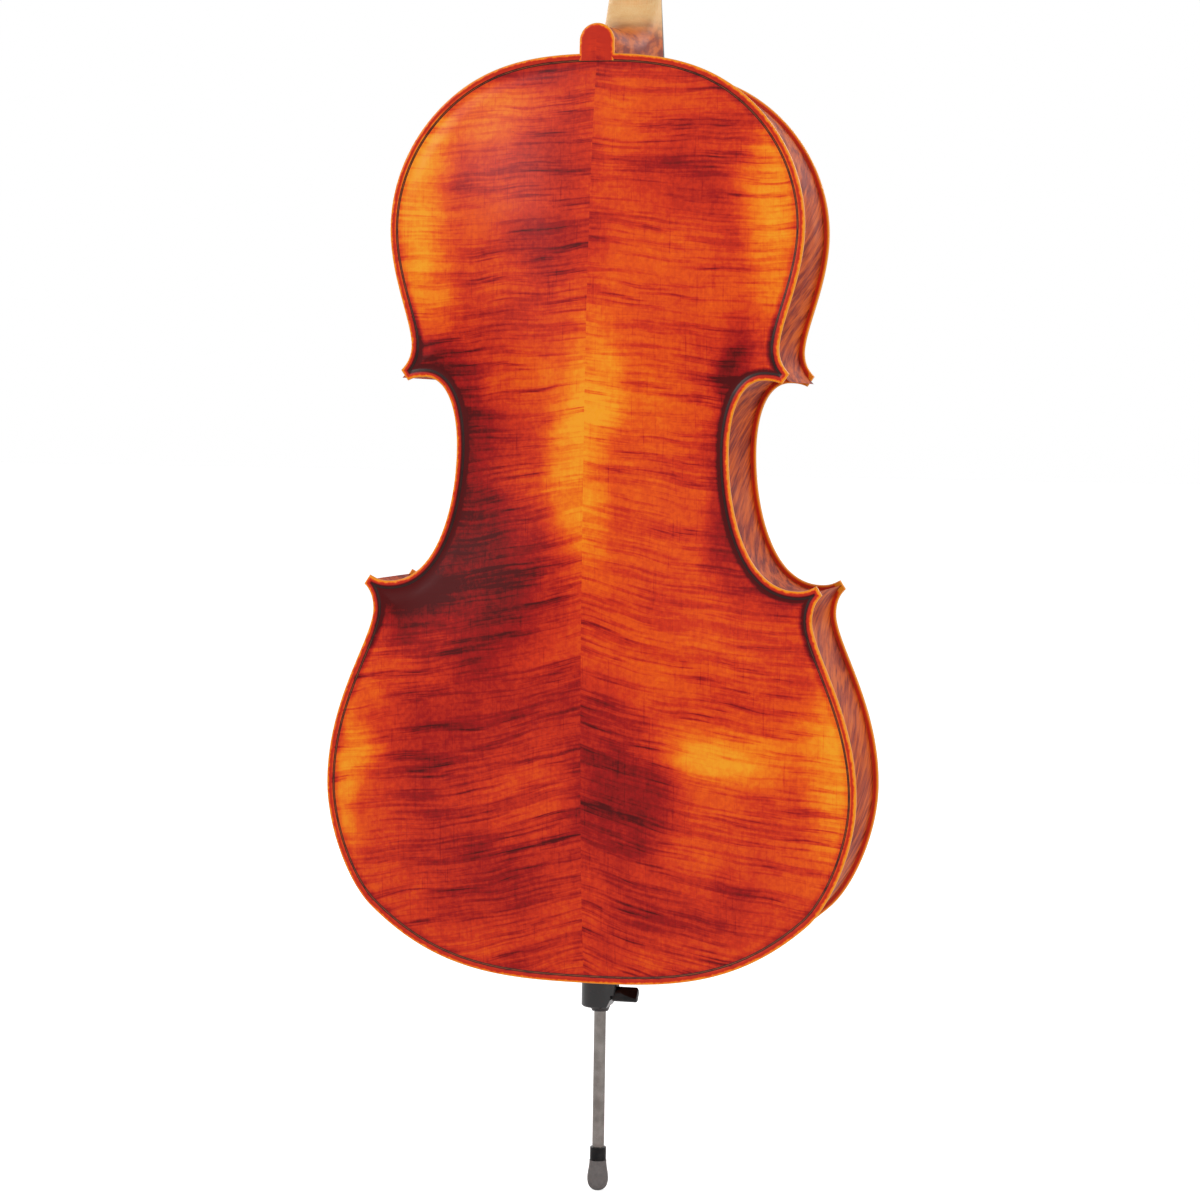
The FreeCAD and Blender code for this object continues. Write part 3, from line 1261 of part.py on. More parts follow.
def endpin_ferrule():
    """Black ring round the rod, above the rubber."""
    solid = Part.makeCylinder(FERRULE_RADIUS, FERRULE_LENGTH, V(0, 0, TIP_LENGTH), Z_AXIS)
    solid = solid.makeFillet(0.5, [e for e in solid.Edges if abs(e.CenterOfMass.z - rod_bottom()) < 1e-6])
    return solid.cut(Part.makeCylinder(ROD_RADIUS, 60, V(0, 0, 0), Z_AXIS))


def endpin_tip():
    """Rubber tip, swelling towards a rounded foot with a small flat on the floor."""
    neck = FERRULE_RADIUS + 0.4
    curve = Part.BSplineCurve()
    curve.interpolate([V(TIP_FLAT_RADIUS, 0, 0), V(TIP_RADIUS * 0.82, 0, 3.2), V(TIP_RADIUS, 0, 9.5),
                       V(TIP_RADIUS * 0.95, 0, 15.0), V(neck, 0, TIP_LENGTH)])
    edges = [
        curve.toShape(),
        Part.makeLine(V(neck, 0, TIP_LENGTH), V(0, 0, TIP_LENGTH)),
        Part.makeLine(V(0, 0, TIP_LENGTH), V(0, 0, 0)),
        Part.makeLine(V(0, 0, 0), V(TIP_FLAT_RADIUS, 0, 0)),
    ]
    solid = Part.Face(Part.Wire(edges)).revolve(V(0, 0, 0), Z_AXIS, 360)
    return solid.cut(Part.makeCylinder(ROD_RADIUS, 60, V(0, 0, TIP_LENGTH - 12.0), Z_AXIS))


# ================================================================ inside the body
def top_block(neck):
    inner = RIB_THICKNESS + EDGE_OVERHANG
    half = inside_half(inner, -RIB_PLANE, RIB_HEIGHT)
    region = box(0, TOP_BLOCK_WIDTH / 2, -200, 200, BODY_TOP - inner - TOP_BLOCK_DEPTH, BODY_TOP)
    block = half.common(region)
    return largest(block.fuse(bass_side(block)).removeSplitter().cut(neck))


def bottom_block(socket_bore):
    inner = RIB_THICKNESS + EDGE_OVERHANG
    half = inside_half(inner, -RIB_PLANE, RIB_HEIGHT)
    region = box(0, END_BLOCK_WIDTH / 2, -200, 200, 0, ENDPIN_REACH + inner + END_BLOCK_DEPTH)
    block = half.common(region)
    return largest(block.fuse(bass_side(block)).removeSplitter().cut(socket_bore))


def corner_wedges():
    """Where the corner blocks are, on the treble side: one wedge at each corner of the outline."""
    wedges = []
    corners = [
        [(124, 470), (200, 470), (200, 540), (150, 540)],
        [(140, 350), (215, 350), (215, 272), (174, 286)],
    ]
    for corner in corners:
        points = [V(widen(x), -RIB_PLANE, lift(z)) for x, z in corner]
        wedges.append(prism(Part.makePolygon(points + points[:1]), RIB_HEIGHT))
    return wedges


def corner_blocks():
    inner = RIB_THICKNESS + EDGE_OVERHANG
    half = inside_half(inner, -RIB_PLANE, RIB_HEIGHT)
    blocks = []
    for wedge in corner_wedges():
        block = largest(half.common(wedge))
        blocks += [block, bass_side(block)]
    return Part.makeCompound(blocks)


def linings(blocks):
    """Willow strips along the back edge of the ribs, between the blocks."""
    inner = RIB_THICKNESS + EDGE_OVERHANG
    strips = []
    for bout in ("upper", "waist", "lower"):
        y = RIB_PLANE - LINING_HEIGHT
        strip = bout_strip(inner, inner + LINING_THICKNESS, bout, y, LINING_HEIGHT)
        for block in blocks:
            strip = strip.cut(block)
        strip = largest(strip)
        strips += [strip, bass_side(strip)]
    return Part.makeCompound(strips)


def bass_bar(hollow):
    """Spruce bar glued along the inside of the top, under the bridge's bass foot."""
    middle = BRIDGE_Z + 14
    reach = BASS_BAR_LENGTH / 2
    crown = -RIB_PLANE - (ARCH_HEIGHT + EDGE_THICKNESS - PLATE_THICKNESS)
    lower = Part.BSplineCurve()
    shoulder = crown + BASS_BAR_HEIGHT * 0.8
    lower.interpolate([V(0, -RIB_PLANE - 6, middle - reach), V(0, shoulder, middle - reach / 2),
                       V(0, crown + BASS_BAR_HEIGHT, middle), V(0, shoulder, middle + reach / 2),
                       V(0, -RIB_PLANE - 6, middle + reach)])
    front = crown - 10
    edges = [
        lower.toShape(),
        Part.makeLine(V(0, -RIB_PLANE - 6, middle + reach), V(0, front, middle + reach)),
        Part.makeLine(V(0, front, middle + reach), V(0, front, middle - reach)),
        Part.makeLine(V(0, front, middle - reach), V(0, -RIB_PLANE - 6, middle - reach)),
    ]
    bar = Part.Face(Part.Wire(edges)).extrude(V(BASS_BAR_THICKNESS, 0, 0))
    bar.translate(V(-BRIDGE_FOOT_SPREAD / 2 + 6.0, 0, 0))
    return largest(bar.common(hollow))


def sound_post(plates):
    """Spruce post that stands between top and back, just below the bridge's treble foot."""
    reach = RIB_PLANE + EDGE_THICKNESS + ARCH_HEIGHT
    place = V(BRIDGE_FOOT_SPREAD / 2 - 13, -reach - 5, BRIDGE_Z - 24)
    post = Part.makeCylinder(SOUND_POST_RADIUS, 2 * reach + 10, place, Y_AXIS)
    for plate in plates:
        post = post.cut(plate)
    return largest(post)


# ================================================================ putting it together
def build():
    nodes = {}
    strings = make_strings()
    neck = neck_and_scroll()
    back = plate_half(True)
    nodes["back_treble_half"] = back
    nodes["back_bass_half"] = bass_side(back)

    gut = tail_gut()
    top = to_front(plate_half(False))
    top = top.cut(f_hole()).cut(saddle_blank())
    top = largest(top.cut(neck))
    nodes["top_treble_half"] = top
    nodes["top_bass_half"] = bass_side(top)

    back_purfling = purfling()
    nodes["back_purfling"] = back_purfling
    top_purfling = to_front(back_purfling).cut([saddle_blank(), neck])
    nodes["top_purfling"] = Part.makeCompound(top_purfling.Solids)

    socket_bore = Part.makeCone(PLUG_RADIUS, PLUG_RADIUS - 1.0, RIB_THICKNESS + END_BLOCK_DEPTH,
                                V(0, 0, ENDPIN_REACH + EDGE_OVERHANG), Z_AXIS)
    below = Part.makeCylinder(PLUG_RADIUS, 20, V(0, 0, ENDPIN_REACH + EDGE_OVERHANG - 20), Z_AXIS)
    for bout, name in (("upper", "rib_upper"), ("waist", "rib_waist"), ("lower", "rib_lower")):
        rib = bout_strip(EDGE_OVERHANG, EDGE_OVERHANG + RIB_THICKNESS, bout, -RIB_PLANE, RIB_HEIGHT)
        if bout == "upper":
            rib = rib.cut(neck)
        if bout == "lower":
            rib = rib.cut(socket_bore).cut(below)
        nodes[name + "_treble"] = largest(rib)
        nodes[name + "_bass"] = bass_side(largest(rib))

    nodes["top_block"] = top_block(neck)
    nodes["bottom_block"] = bottom_block(socket_bore)
    nodes["corner_blocks"] = corner_blocks()
    block_tools = corner_wedges() + [nodes["top_block"], nodes["bottom_block"], neck]
    back_linings = linings(block_tools)
    nodes["back_linings"] = back_linings
    nodes["top_linings"] = to_front(back_linings)
    nodes["bass_bar"] = bass_bar(to_front(under_arch(HOLLOW_INSET)))
    nodes["sound_post"] = sound_post([top, back])

    nodes["neck_and_scroll"] = neck
    nodes["fingerboard"] = fingerboard()
    nodes["nut"] = nut(strings)
    nodes["bridge"] = bridge(strings, [top, nodes["top_bass_half"]])
    nodes["saddle"] = saddle(gut)
    nodes["tail_gut"] = gut
    nodes["tail_gut_nuts"] = tail_gut_nuts()
    nodes["tailpiece"] = tailpiece()
    nodes["tuner_pins"] = tuner_pins()
    for letter in STRINGS:
        nodes["string_" + letter] = strings[letter]["solid"]
        nodes["string_" + letter + "_ball"] = ball_end(strings[letter])
        nodes["string_" + letter + "_winding"] = peg_winding(letter)
        nodes["peg_" + letter] = peg(letter)
        nodes["tuner_lever_" + letter] = tuner_lever(letter, strings[letter])
        nodes["tuner_screw_" + letter] = tuner_screw(letter)

    nodes["endpin_socket"] = endpin_socket()
    nodes["endpin_thumb_screw"] = endpin_thumb_screw()
    nodes["endpin_rod"] = endpin_rod()
    nodes["endpin_ferrule"] = endpin_ferrule()
    nodes["endpin_tip"] = endpin_tip()
    return nodes


os.makedirs("parts", exist_ok=True)
for name, shape in build().items():
    shape.exportStep(f"parts/{name}.step")
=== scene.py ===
import math

import bmesh
import bpy
import numpy as np
from mathutils import Matrix, Vector
from mathutils.geometry import delaunay_2d_cdt


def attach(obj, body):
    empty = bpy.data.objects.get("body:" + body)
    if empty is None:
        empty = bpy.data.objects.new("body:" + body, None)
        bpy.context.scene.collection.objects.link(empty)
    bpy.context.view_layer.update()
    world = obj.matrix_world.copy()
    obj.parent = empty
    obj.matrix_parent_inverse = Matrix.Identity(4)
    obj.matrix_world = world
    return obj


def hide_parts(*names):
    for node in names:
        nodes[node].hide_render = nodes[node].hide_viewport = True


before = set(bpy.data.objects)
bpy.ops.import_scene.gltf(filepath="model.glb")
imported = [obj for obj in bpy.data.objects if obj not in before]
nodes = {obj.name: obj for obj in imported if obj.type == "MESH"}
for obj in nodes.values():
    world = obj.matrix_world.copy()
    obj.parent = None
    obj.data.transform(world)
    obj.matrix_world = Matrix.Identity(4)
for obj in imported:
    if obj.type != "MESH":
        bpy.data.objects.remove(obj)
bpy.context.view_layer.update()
MM = 0.001

# ---------------------------------------------------------------------------------------------
# Back: two wedges of flamed maple, split from one board and glued edge to edge like an open
# book, so that the flame falls away from the seam on both sides. A round tab at its top, the
# button, holds the neck's heel.

# The mould's outline, which both plates follow: half of it, on the treble side, from the top of
# the body down, in millimetres above the plates' bottom edge, with the two corners cut square.
UPPER_BOUT = [
    [(0, 755), (42, 755), (80, 751), (113.3, 727.4)],
    [(113.3, 727.4), (149.2, 702.0), (172.5, 660.4), (172.5, 615)],
    [(172.5, 615), (172.5, 575.9), (153.3, 538.8), (153.3, 519)],
    [(153.3, 519), (153.3, 510), (157.0, 504.0), (162, 499)],
]
UPPER_CORNER = [[(162, 499), (160, 496.2), (158, 493.3), (156, 490.5)]]
WAIST = [
    [(156, 490.5), (151.8, 492.6), (148.2, 493.4), (141.5, 493.4)],
    [(141.5, 493.4), (122.0, 493.4), (113.5, 466.7), (113.5, 436)],
    [(113.5, 436), (113.5, 392.5), (127.6, 325.4), (171, 325.4)],
    [(171, 325.4), (178.5, 325.4), (181.6, 327.1), (187, 330)],
]
LOWER_CORNER = [[(187, 330), (188.6, 327.5), (190.2, 325), (191.8, 322.5)]]
LOWER_BOUT = [
    [(191.8, 322.5), (186.0, 317.3), (183.8, 309.8), (183.8, 302)],
    [(183.8, 302), (183.8, 277.6), (222.5, 226.5), (222.5, 158)],
    [(222.5, 158), (222.5, 118), (202.8, 72.6), (183.7, 55.1)],
    [(183.7, 55.1), (126, 2.3), (69.6, 0), (0, 0)],
]
BODY_FOOT = 185.0
BODY_LENGTH = 755.0
RIB_PLANE = 56.0
EDGE_PLANE = 60.8
WAIST_LINE = 410.0


def moved_in(curves, inset, steps=30):
    """Points along some of the outline's curves, moved into the body by inset."""
    t = np.linspace(0, 1, steps + 1)[:, None]
    line = []
    for curve in curves:
        a, b, c, d = (np.array(p, float) for p in curve)
        place = (1 - t) ** 3 * a + 3 * (1 - t) ** 2 * t * b + 3 * (1 - t) * t**2 * c + t**3 * d
        way = (1 - t) ** 2 * (b - a) + 2 * (1 - t) * t * (c - b) + t**2 * (d - c)
        way /= np.linalg.norm(way, axis=1)[:, None]
        place = place + inset * np.column_stack([way[:, 1], -way[:, 0]])
        line.append(place if not line else place[1:])
    return np.vstack(line)


def run_on(line, reach=14.0):
    """The line with a straight piece added at its end."""
    way = line[-1] - line[-2]
    return np.vstack([line, line[-1] + way / np.linalg.norm(way) * reach])


def crossing(first, second):
    """Where the end of one line crosses the start of the next: (point, segment of each)."""
    a, r = first[:-1, None], (first[1:] - first[:-1])[:, None]
    b, s = second[None, :-1], (second[1:] - second[:-1])[None]
    across = r[..., 0] * s[..., 1] - r[..., 1] * s[..., 0]
    across = np.where(np.abs(across) < 1e-12, 1e-12, across)
    gap = b - a
    t = (gap[..., 0] * s[..., 1] - gap[..., 1] * s[..., 0]) / across
    u = (gap[..., 0] * r[..., 1] - gap[..., 1] * r[..., 0]) / across
    met = np.argwhere((t >= 0) & (t <= 1) & (u >= 0) & (u <= 1))
    if not len(met):
        return None
    i, j = max(met.tolist(), key=lambda pair: pair[0] - 0.01 * pair[1])
    return first[i] + t[i, j] * (first[i + 1] - first[i]), i, j


def evenly(line, count):
    """The same line with count + 1 evenly spaced points."""
    way = np.concatenate([[0], np.cumsum(np.linalg.norm(np.diff(line, axis=0), axis=1))])
    at = np.linspace(0, way[-1], count + 1)
    return np.column_stack([np.interp(at, way, line[:, 0]), np.interp(at, way, line[:, 1])])


POINTS_ALONG = (150, 6, 110, 6, 190)


def outline(inset):
    """Half outline at an inset, as five lines: upper bout, corner, waist, corner, lower bout."""
    parts = (UPPER_BOUT, UPPER_CORNER, WAIST, LOWER_CORNER, LOWER_BOUT)
    lines = [moved_in(curves, inset) for curves in parts]
    longer = [run_on(run_on(line)[::-1])[::-1] for line in lines]
    longer[0] = run_on(lines[0])
    longer[4] = run_on(lines[4][::-1])[::-1]
    cut = list(longer)
    for corner in (1, 3):
        before, end, after = cut[corner - 1], longer[corner], cut[corner + 1]
        enter, leave = crossing(before, end), crossing(end, after)
        along = end[-1] - end[0]
        if enter and leave and (leave[0] - enter[0]) @ along > 0:
            cut[corner - 1] = np.vstack([before[: enter[1] + 1], enter[0]])
            cut[corner + 1] = np.vstack([leave[0], after[leave[2] + 1:]])
            cut[corner] = np.vstack([enter[0], leave[0]])
        else:
            point, i, j = crossing(before, after)
            cut[corner - 1] = np.vstack([before[: i + 1], point])
            cut[corner + 1] = np.vstack([point, after[j + 1:]])
            cut[corner] = np.vstack([point, point])
    cut[0][0, 0] = 0.0
    cut[4][-1, 0] = 0.0
    return [evenly(line, count) for line, count in zip(cut, POINTS_ALONG)]


def one_line(lines):
    """The five lines of a half outline, end to end."""
    return np.vstack([lines[0]] + [line[1:] for line in lines[1:]])


# The arching that both plates are carved to: how far up the body, and half the width of the
# swell there. A shallow channel runs round the edge, and the edge itself is rounded over.
ARCH_STATIONS = np.array([
    (12, 60), (50, 158), (100, 197), (158, 211), (230, 197), (290, 171), (330, 140), (375, 111),
    (436, 102), (480, 110), (530, 138), (575, 154), (615, 161), (670, 147), (715, 110), (743, 50),
], float)
ARCH_HEIGHT = 24.0
ARCH_START = 12.0
HOLLOW_HEIGHT = 23.9
HOLLOW_START = 37.0
HOLLOW_INSET = 7.0
HOLLOW_SINK = 0.6
CHANNEL_DEPTH = 1.1
CHANNEL_INSETS = (2.2, 7.2, 9.0, 20.0)


def arch_half_width(rise, inset):
    """Half the width of the swell at a height, less an inset."""
    rows, wide = ARCH_STATIONS[:, 0], ARCH_STATIONS[:, 1]
    slope = np.gradient(wide, rows)
    rise = np.clip(rise, rows[0], rows[-1])
    k = np.clip(np.searchsorted(rows, rise) - 1, 0, len(rows) - 2)
    step = rows[k + 1] - rows[k]
    t = (rise - rows[k]) / step
    curve = ((2 * t**3 - 3 * t**2 + 1) * wide[k] + (t**3 - 2 * t**2 + t) * step * slope[k]
             + (-2 * t**3 + 3 * t**2) * wide[k + 1] + (t**3 - t**2) * step * slope[k + 1])
    return np.maximum(curve - inset, 5.0)


def arch(x, rise, crown=ARCH_HEIGHT, start=ARCH_START, inset=0.0):
    """Height of the swell over the plate's edge at each place."""
    share = np.clip(np.abs(2 * (rise - start) / (BODY_LENGTH - 2 * start) - 1), 0, 1)
    across = np.clip(np.abs(x) / arch_half_width(rise, inset), 0, 1)
    return crown * (1 - share**2.6) ** 0.95 * (1 - across**2) ** 1.8


def underside(x, rise):
    """How far back the hollow inside a plate lies."""
    swell = arch(x, rise, HOLLOW_HEIGHT, HOLLOW_START, HOLLOW_INSET)
    return RIB_PLANE + np.maximum(swell - HOLLOW_SINK, 0)


def channel(inset):
    """Depth of the channel at a distance from the edge."""
    start, full, leave, end = CHANNEL_INSETS
    t = np.clip((inset - start) / (full - start), 0, 1) * np.clip((end - inset) / (end - leave), 0, 1)
    return CHANNEL_DEPTH * t * t * (3 - 2 * t)


EDGE_ROUNDING = [
    (0.8, -4.8), (0.3, -4.3), (0.05, -3.4), (0.0, -2.4), (0.12, -1.3), (0.5, -0.55), (1.1, -0.15),
]
EDGE_RINGS = [2.0, 3.0, 4.0, 4.9, 5.6, 6.2, 6.9, 8.0, 9.6, 12.0, 15.0, 17.6, 20.5]
INNER_GRID = 6.0


def inside(points, loop):
    """Which points lie inside a closed loop."""
    x, z = points[:, 0][:, None], points[:, 1][:, None]
    a, b = loop, np.roll(loop, -1, axis=0)
    over = (a[:, 1] > z) != (b[:, 1] > z)
    tall = np.where(b[:, 1] == a[:, 1], 1e-9, b[:, 1] - a[:, 1])
    cut = (b[:, 0] - a[:, 0]) * (z - a[:, 1]) / tall + a[:, 0]
    return (over & (x < cut)).sum(axis=1) % 2 == 1


def nearest(points, line):
    """Distance from each point to a line's points."""
    return np.array([np.linalg.norm(line - p, axis=1).min() for p in points])


def filled(loop, holes=()):
    """Triangles inside a half outline that is closed along the seam: (points, triangles)."""
    low, high = loop[-1, 1], loop[0, 1]
    rows = np.arange(math.ceil(low / INNER_GRID) * INNER_GRID + 3, high - 3, INNER_GRID)
    seam = np.column_stack([np.zeros(len(rows)), rows])
    x, z = np.meshgrid(np.arange(INNER_GRID, 230, INNER_GRID), rows)
    grid = np.column_stack([x.ravel(), z.ravel()])
    grid = grid[inside(grid, loop)]
    grid = grid[nearest(grid, loop) > 3.5]
    for hole in holes:
        grid = grid[~inside(grid, hole)]
        grid = grid[nearest(grid, hole) > 2.0]
    border = np.vstack([loop, seam])
    count = len(border)
    edges = [(k, (k + 1) % count) for k in range(count)]
    points = [border]
    for hole in holes:
        start = sum(len(p) for p in points)
        edges += [(start + k, start + (k + 1) % len(hole)) for k in range(len(hole))]
        points.append(hole)
    points = np.vstack(points + [grid])
    made = delaunay_2d_cdt([Vector(p) for p in points], edges, [], 1, 1e-7)
    places = np.array([tuple(p) for p in made[0]])
    faces = np.array(made[2])
    for hole in holes:
        middle = places[faces].mean(axis=1)
        faces = faces[~inside(middle, hole)]
    return places, faces


def mesh_object(name, points, faces, body, shade_angle=35.0, **layers):
    """A new object from points in millimetres; layers are values kept at each point."""
    mesh = bpy.data.meshes.new(name)
    mesh.from_pydata((np.asarray(points) * MM).tolist(), [], [list(map(int, f)) for f in faces])
    for layer, values in layers.items():
        values = np.asarray(values, np.float32)
        kind = "FLOAT" if values.ndim == 1 else "FLOAT_VECTOR"
        attribute = mesh.attributes.new(layer, kind, "POINT")
        attribute.data.foreach_set("value" if values.ndim == 1 else "vector", values.ravel())
    tidy = bmesh.new()
    tidy.from_mesh(mesh)
    bmesh.ops.remove_doubles(tidy, verts=tidy.verts, dist=1e-6)
    bmesh.ops.dissolve_degenerate(tidy, dist=1e-7, edges=tidy.edges)
    seam = [edge for edge in tidy.edges
            if edge.is_boundary and max(abs(v.co.x) for v in edge.verts) < 1e-6]
    if seam:
        bmesh.ops.triangle_fill(tidy, use_beauty=True, edges=seam)
    bmesh.ops.recalc_face_normals(tidy, faces=tidy.faces)
    tidy.to_mesh(mesh)
    tidy.free()
    mesh.polygons.foreach_set("use_smooth", [True] * len(mesh.polygons))
    mesh.set_sharp_from_angle(angle=math.radians(shade_angle))
    made = bpy.data.objects.new(name, mesh)
    bpy.context.scene.collection.objects.link(made)
    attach(made, body)
    return made


def plate_half(side, face, holes=()):
    """One half of a plate: side +1 is the treble half, face +1 is the back and -1 is the top."""
    points, faces, edge = [], [], []

    def add_ring(inset, height=None):
        line = one_line(outline(inset))
        if height is None:
            height = arch(line[:, 0], line[:, 1]) - channel(inset)
        level = np.broadcast_to(height, len(line))
        points.extend(zip(line[:, 0], EDGE_PLANE + level, BODY_FOOT + line[:, 1]))
        edge.extend([inset] * len(line))
        return len(points) - len(line), len(line)

    def join(first, second, count):
        faces.extend((first + k, first + k + 1, second + k + 1, second + k) for k in range(count - 1))

    rings = [add_ring(inset, height) for inset, height in EDGE_ROUNDING]
    rings += [add_ring(inset) for inset in EDGE_RINGS]
    for (first, count), (second, _) in zip(rings, rings[1:]):
        join(first, second, count)

    def add_sheet(loop, height, flip):
        flat, triangles = filled(loop, holes)
        start = len(points)
        points.extend(zip(flat[:, 0], height(flat), BODY_FOOT + flat[:, 1]))
        edge.extend(nearest(flat, edge_line))
        faces.extend(tuple(start + t[::-1]) if flip else tuple(start + t) for t in triangles)
        return start, flat

    edge_line = one_line(outline(0.0))
    outer_loop = one_line(outline(EDGE_RINGS[-1]))
    add_sheet(outer_loop, lambda p: EDGE_PLANE + arch(p[:, 0], p[:, 1]), False)
    under_loop = one_line(outline(EDGE_ROUNDING[0][0]))
    add_sheet(under_loop, lambda p: underside(p[:, 0], p[:, 1]), True)
    for hole in holes:
        rise = np.asarray(hole)
        outer = EDGE_PLANE + arch(rise[:, 0], rise[:, 1])
        inner = underside(rise[:, 0], rise[:, 1])
        start, count = len(points), len(rise)
        for level in (outer, inner):
            points.extend(zip(rise[:, 0], level, BODY_FOOT + rise[:, 1]))
            edge.extend([0.5] * count)
        for k in range(count):
            after = (k + 1) % count
            faces.append((start + k, start + after, start + count + after, start + count + k))
    points = np.array(points) * (side, face, 1)
    return points, faces, np.array(edge)


BUTTON_TOP = BODY_LENGTH + 24.4
BUTTON_HALF = 14.5
BUTTON_ROOT = BODY_LENGTH - 6.0
BUTTON_FACE = 0.05


def button_outline():
    """Half of the button's edge, from its top down into the plate."""
    angle = np.linspace(0, math.pi / 2, 13)
    top = BUTTON_TOP - BUTTON_HALF
    arc = np.column_stack([BUTTON_HALF * np.sin(angle), top + BUTTON_HALF * np.cos(angle)])
    return np.vstack([arc, (BUTTON_HALF, BODY_LENGTH - 1.0), (BUTTON_HALF, BUTTON_ROOT)])


def button_half(side):
    """Half of the button as a rounded tab that grows out of the plate's edge."""
    rim = button_outline()
    middle = np.array([0, BUTTON_TOP - BUTTON_HALF])
    points, faces, edge = [], [], []
    for inset, height in EDGE_ROUNDING + [(2.0, 0.0), (3.5, BUTTON_FACE)]:
        way = rim - middle
        way[:, 1] = np.maximum(way[:, 1], 0)
        way /= np.linalg.norm(way, axis=1)[:, None]
        moved = rim - way * inset
        moved[0, 0] = 0
        points.extend(zip(moved[:, 0], np.full(len(rim), EDGE_PLANE + height), BODY_FOOT + moved[:, 1]))
        edge.extend([inset] * len(rim))
    count = len(rim)
    rows = len(points) // count
    for row in range(rows - 1):
        for k in range(count - 1):
            a = row * count + k
            faces.append((a, a + 1, a + 1 + count, a + count))
    last = (rows - 1) * count
    points.append((0, EDGE_PLANE + BUTTON_FACE, BODY_FOOT + BUTTON_ROOT))
    edge.append(5.0)
    faces.append(tuple(range(last, last + count)) + (len(points) - 1,))
    points.append((0, EDGE_PLANE + EDGE_ROUNDING[0][1], BODY_FOOT + BUTTON_ROOT))
    edge.append(5.0)
    faces.append(tuple(range(count - 1, -1, -1)) + (len(points) - 1,))
    ends = tuple(row * count + count - 1 for row in range(rows))
    faces.append(ends + (len(points) - 2, len(points) - 1))
    return np.array(points) * (side, 1, 1), faces, np.array(edge)


backs = []
for side, half in ((1, "treble"), (-1, "bass")):
    points, faces, edge = plate_half(side, 1)
    tab_points, tab_faces, tab_edge = button_half(side)
    faces = list(faces) + [tuple(len(points) + k for k in f) for f in tab_faces]
    made = mesh_object(f"back_{half}", np.vstack([points, tab_points]), faces, "instrument",
                       edge=np.concatenate([edge, tab_edge]))
    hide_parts(f"back_{half}_half")
    backs.append(made)


def srgb(red, green, blue):
    """A colour named by its 0 to 255 values, as the shaders want it."""
    def straight(value):
        value /= 255
        return value / 12.92 if value <= 0.04045 else ((value + 0.055) / 1.055) ** 2.4
    return (straight(red), straight(green), straight(blue), 1.0)


def feed(tree, socket, value):
    """Links a socket from another node's output, or sets it to a plain value."""
    if isinstance(value, bpy.types.NodeSocket):
        tree.links.new(value, socket)
    else:
        socket.default_value = value


def put(tree, kind, **sockets):
    """A node: use_ names set its own properties, and the others feed its sockets."""
    made = tree.nodes.new(kind)
    for name, value in sockets.items():
        if name.startswith("use_"):
            setattr(made, name[4:], value)
    for name, value in sockets.items():
        if not name.startswith("use_"):
            feed(tree, made.inputs[int(name[1:]) if name[0] == "_" else name], value)
    return made


def calc(tree, operation, first, second=0.0, third=0.0, clamp=False):
    """A sum on values or sockets, as the output of a math node."""
    made = put(tree, "ShaderNodeMath", use_operation=operation, use_use_clamp=clamp,
               _0=first, _1=second, _2=third)
    return made.outputs[0]


def span(tree, value, low, high, to_low=0.0, to_high=1.0):
    """The value stretched from one range to another, with soft ends."""
    made = put(tree, "ShaderNodeMapRange", use_interpolation_type="SMOOTHSTEP", _0=value,
               _1=low, _2=high, _3=to_low, _4=to_high)
    return made.outputs[0]


def split(tree, place):
    """The three coordinates of a place."""
    return put(tree, "ShaderNodeSeparateXYZ", _0=place).outputs


def stretch(tree, place, scale):
    """A place multiplied by a scale for each axis."""
    return put(tree, "ShaderNodeVectorMath", use_operation="MULTIPLY", _0=place, _1=scale).outputs[0]


def noise(tree, vector, scale=1.0, detail=2.0, roughness=0.5, distortion=0.0):
    """Soft cloudy noise, around 0.5."""
    made = put(tree, "ShaderNodeTexNoise", Vector=vector, Scale=scale, Detail=detail,
               Roughness=roughness, Distortion=distortion)
    return made.outputs["Fac"]


def blend(tree, share, first, second):
    """Two colours mixed by a share."""
    return put(tree, "ShaderNodeMix", use_data_type="RGBA", _0=share, _6=first, _7=second).outputs[2]


def ramp(tree, value, *stops):
    """A colour that changes with a value, through (place, colour) stops."""
    made = put(tree, "ShaderNodeValToRGB", _0=value)
    band = made.color_ramp
    while len(band.elements) < len(stops):
        band.elements.new(0.5)
    for element, (place, colour) in zip(band.elements, stops):
        element.position = place
        element.color = colour
    return made.outputs[0]


def group(name, inputs, outputs):
    """An empty node group with named inputs and outputs: (tree, its inputs, its output node)."""
    tree = bpy.data.node_groups.new(name, "ShaderNodeTree")
    kinds = {"v": "NodeSocketVector", "f": "NodeSocketFloat", "c": "NodeSocketColor"}
    for key, kind, value in inputs:
        socket = tree.interface.new_socket(key, in_out="INPUT", socket_type=kinds[kind])
        if value is not None:
            socket.default_value = value
    for key, kind in outputs:
        tree.interface.new_socket(key, in_out="OUTPUT", socket_type=kinds[kind])
    return tree, tree.nodes.new("NodeGroupInput").outputs, tree.nodes.new("NodeGroupOutput").inputs


def use(tree, shared, **sockets):
    """A shared node group placed in a material."""
    return put(tree, "ShaderNodeGroup", use_node_tree=shared, **sockets).outputs


def finish(name):
    """A new material: (material, its node tree, its shader, the place on the piece)."""
    made = bpy.data.materials.new(name)
    made.use_nodes = True
    tree = made.node_tree
    shader = tree.nodes["Principled BSDF"]
    place = tree.nodes.new("ShaderNodeTexCoord").outputs["Object"]
    return made, tree, shader, place


def wire(tree, shader, **sockets):
    """Sets or links the shader's own sockets."""
    for name, value in sockets.items():
        feed(tree, shader.inputs[name.replace("_", " ")], value)


